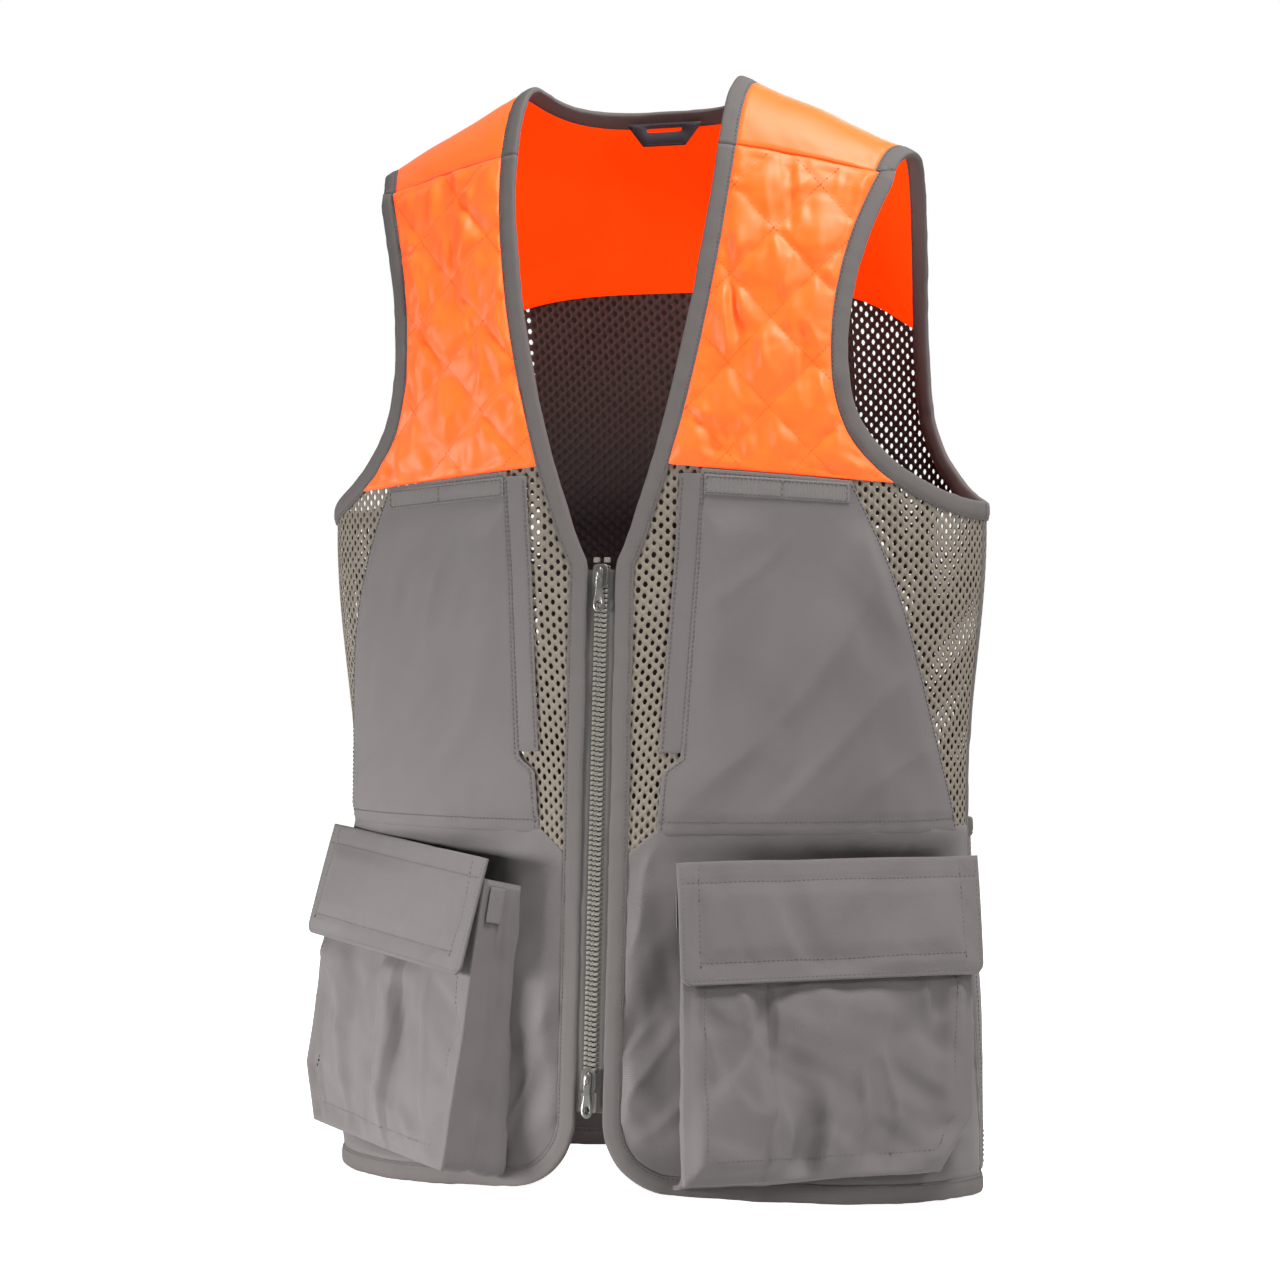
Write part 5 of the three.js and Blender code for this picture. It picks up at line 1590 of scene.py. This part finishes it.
def build_side_seam(name, side):
    """The felled seam where front and back join, as a low ridge down each side."""
    t = np.linspace(0, 1, 160)
    p = body(QUARTER + 0 * t, mix(14, UNDERARM_Z - 1, t))
    turn = np.arange(12) * math.pi / 6
    ridge_up = 1.25 * np.sign(np.sin(turn)) * np.abs(np.sin(turn)) ** 0.6
    wave = 0.3 * noise(p[:, 2] / 9, 0 * t, 61 + side)
    up = ridge_up[None] + (drape(world(p, side)) + wave)[:, None]
    rings = p[:, None] + np.array([0, 1.0, 0]) * (2.4 * np.cos(turn))[None, :, None]
    rings = rings + normal_at(p)[:, None] * up[..., None]
    attach(tube(name, world(rings, side), "binding"), "back_body", "binding_fabric")


def yoke_relief(u, v, p):
    edge = to_edges(u, v, YOKE_SIZE)
    drawn = noise3(p * [1, 0.5, 0.45], 24, 171) * 1.3 + noise3(p * [0.5, 1, 1], 15, 175) * 0.4
    along = u * YOKE_SIZE[0] + v * YOKE_SIZE[1]
    return drawn * smooth(edge / 16) + puckers(edge, along, 179, 9, 6) * smooth(edge / 3)


def yoke_band(u, v, p):
    """The turned-up hem inside the yoke's foot."""
    away = (1 - v) * 118
    back = smooth((0.2 - np.abs(u - 0.5)) / 0.01)
    return back * (1.3 * smooth((24 - away) / 1.5) - 0.4 * near(away - 24, 1.5))


def build_label():
    """The hanging label inside the neck: a dark woven tab whose slot leaves a loop to hang the vest by."""
    lo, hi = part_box("hanger_label")
    top, foot, wide, narrow = hi[2] / MM, lo[2] / MM, hi[0] / MM, 13.5
    front = lo[1] / MM - SET_BACK

    def to_world(rings):
        return np.stack([rings[..., 0], front + 1.2 - rings[..., 2], rings[..., 1]], -1)

    def thread(x, z, out):
        p = to_world(np.stack(np.broadcast_arrays(x, z, out), -1))
        return p, np.broadcast_to([0, -1.0, 0], p.shape)

    outline = loop_points(np.array([(wide, top), (-wide, top), (-wide, top - 1.5), (-narrow - 1, foot),
                                    (narrow + 1, foot), (wide, top - 1.5)]), 56)
    turn = np.arange(56) * 2 * math.pi / 56 + math.atan2((top - foot) / 2, wide)
    across, up = np.cos(turn), np.sin(turn)
    hole = np.column_stack([12 * np.sign(across) * np.abs(across) ** 0.35,
                            2 * np.sign(up) * np.abs(up) ** 0.5 + top - 4])
    made = plate("hanger_label", outline, (0, 1.2), "label", to_world, hole, 0.25)
    attach(made, "hanger_label", "label_fabric", "hanger_label")
    down = np.linspace(top - 1.5, top - 5, 8)
    threads = [thread(x, down, 1.3) for x in (-wide + 4, wide - 4)]
    threads.append(thread(np.linspace(-narrow + 1, narrow - 1, 30), foot + 1.2, 1.25))
    sew("label_stitches", threads, "hanger_label", "label_fabric", pitch=1.4, length=1.0, radius=0.2)


build_back()
build_side_seam("left_side_seam", 1)
build_side_seam("right_side_seam", -1)


# ---------------------------------------------------------------- sliders
def build_sliders():
    for end, upside in (("upper", True), ("lower", False)):
        name = end + "_slider"
        foot, _ = zip_span(name, name)
        attach(build_slider(name, foot, upside), name, "slider_metal", name)
        attach(build_pull(name + "_pull", foot + 11), end + "_pull", "slider_metal", name + "_pull")


build_sliders()


# ---------------------------------------------------------------- stage, light and camera
# Stage and camera are in metres and degrees. VIEW_WIDTH is what the frame takes in at the vest.
FLOOR_RADIUS, FLOOR_Z = 14, -0.001
SENSOR, CAMERA_DISTANCE, VIEW_WIDTH = 36, 2.0, 0.832
CAMERA_TURN, CAMERA_SHIFT, CAMERA_Z = 18, -0.010, 0.347
# Each lamp: name, place, the height it points at, width, spread in degrees and power.
LAMPS = (("key", (-2.2, -1.5, 0.25), -0.12, 0.6, 40, 7.4), ("top", (0.9, -0.5, 2.3), 0.45, 0.7, 150, 51),
         ("fill", (2.2, -1.3, 1.5), 0.2, 0.6, 150, 19), ("back", (0.3, 2.2, 1.6), 0.4, 1.4, 150, 14))


def glow_for_camera(tree, socket, seen_value, value):
    """A strength that is seen_value where the camera looks straight at it, and value elsewhere."""
    path = tree.nodes.new("ShaderNodeLightPath")
    blend = tree.nodes.new("ShaderNodeMapRange")
    blend.inputs["To Min"].default_value, blend.inputs["To Max"].default_value = value, seen_value
    tree.links.new(path.outputs["Is Camera Ray"], blend.inputs["Value"])
    tree.links.new(blend.outputs["Result"], socket)


def set_stage():
    floor = bpy.data.meshes.new("floor")
    turn = np.arange(64) * 2 * math.pi / 64
    rim = [(FLOOR_RADIUS * math.cos(a), FLOOR_RADIUS * math.sin(a), FLOOR_Z) for a in turn]
    floor.from_pydata(rim, [], [list(range(64))])
    pale = bpy.data.materials.new("backdrop")
    pale.use_nodes = True
    shader = pale.node_tree.nodes["Principled BSDF"]
    shader.inputs["Base Color"].default_value = (0.86, 0.86, 0.86, 1)
    shader.inputs["Roughness"].default_value = 1
    shader.inputs["Emission Color"].default_value = (1, 1, 1, 1)
    glow_for_camera(pale.node_tree, shader.inputs["Emission Strength"], 0.92, 0.03)
    floor.materials.append(pale)
    made = bpy.data.objects.new("backdrop", floor)
    bpy.context.scene.collection.objects.link(made)
    sky = bpy.data.worlds.new("studio")
    sky.use_nodes = True
    background = sky.node_tree.nodes["Background"]
    background.inputs["Color"].default_value = (1, 1, 1, 1)
    glow_for_camera(sky.node_tree, background.inputs["Strength"], 1.0, 0.17)
    bpy.context.scene.world = sky
    for name, place, height, size, spread, power in LAMPS:
        light = bpy.data.lights.new(name, "AREA")
        light.size, light.energy, light.spread = size, power, math.radians(spread)
        lamp = bpy.data.objects.new(name, light)
        lamp.location = place
        lamp.rotation_euler = (Vector((0, 0, height)) - Vector(place)).to_track_quat("-Z", "Y").to_euler()
        bpy.context.scene.collection.objects.link(lamp)
    camera = bpy.data.cameras.new("camera")
    camera.sensor_width, camera.lens = SENSOR, SENSOR * CAMERA_DISTANCE / VIEW_WIDTH
    eye = bpy.data.objects.new("camera", camera)
    turn = math.radians(CAMERA_TURN)
    across, back = Vector((math.cos(turn), math.sin(turn), 0)), Vector((math.sin(turn), -math.cos(turn), 0))
    aim = across * CAMERA_SHIFT + Vector((0, SET_BACK * MM, CAMERA_Z))
    eye.location = aim + back * CAMERA_DISTANCE
    eye.rotation_euler = (-back).to_track_quat("-Z", "Y").to_euler()
    bpy.context.scene.collection.objects.link(eye)
    bpy.context.scene.camera = eye
    bpy.context.scene.view_settings.view_transform = "Standard"


set_stage()
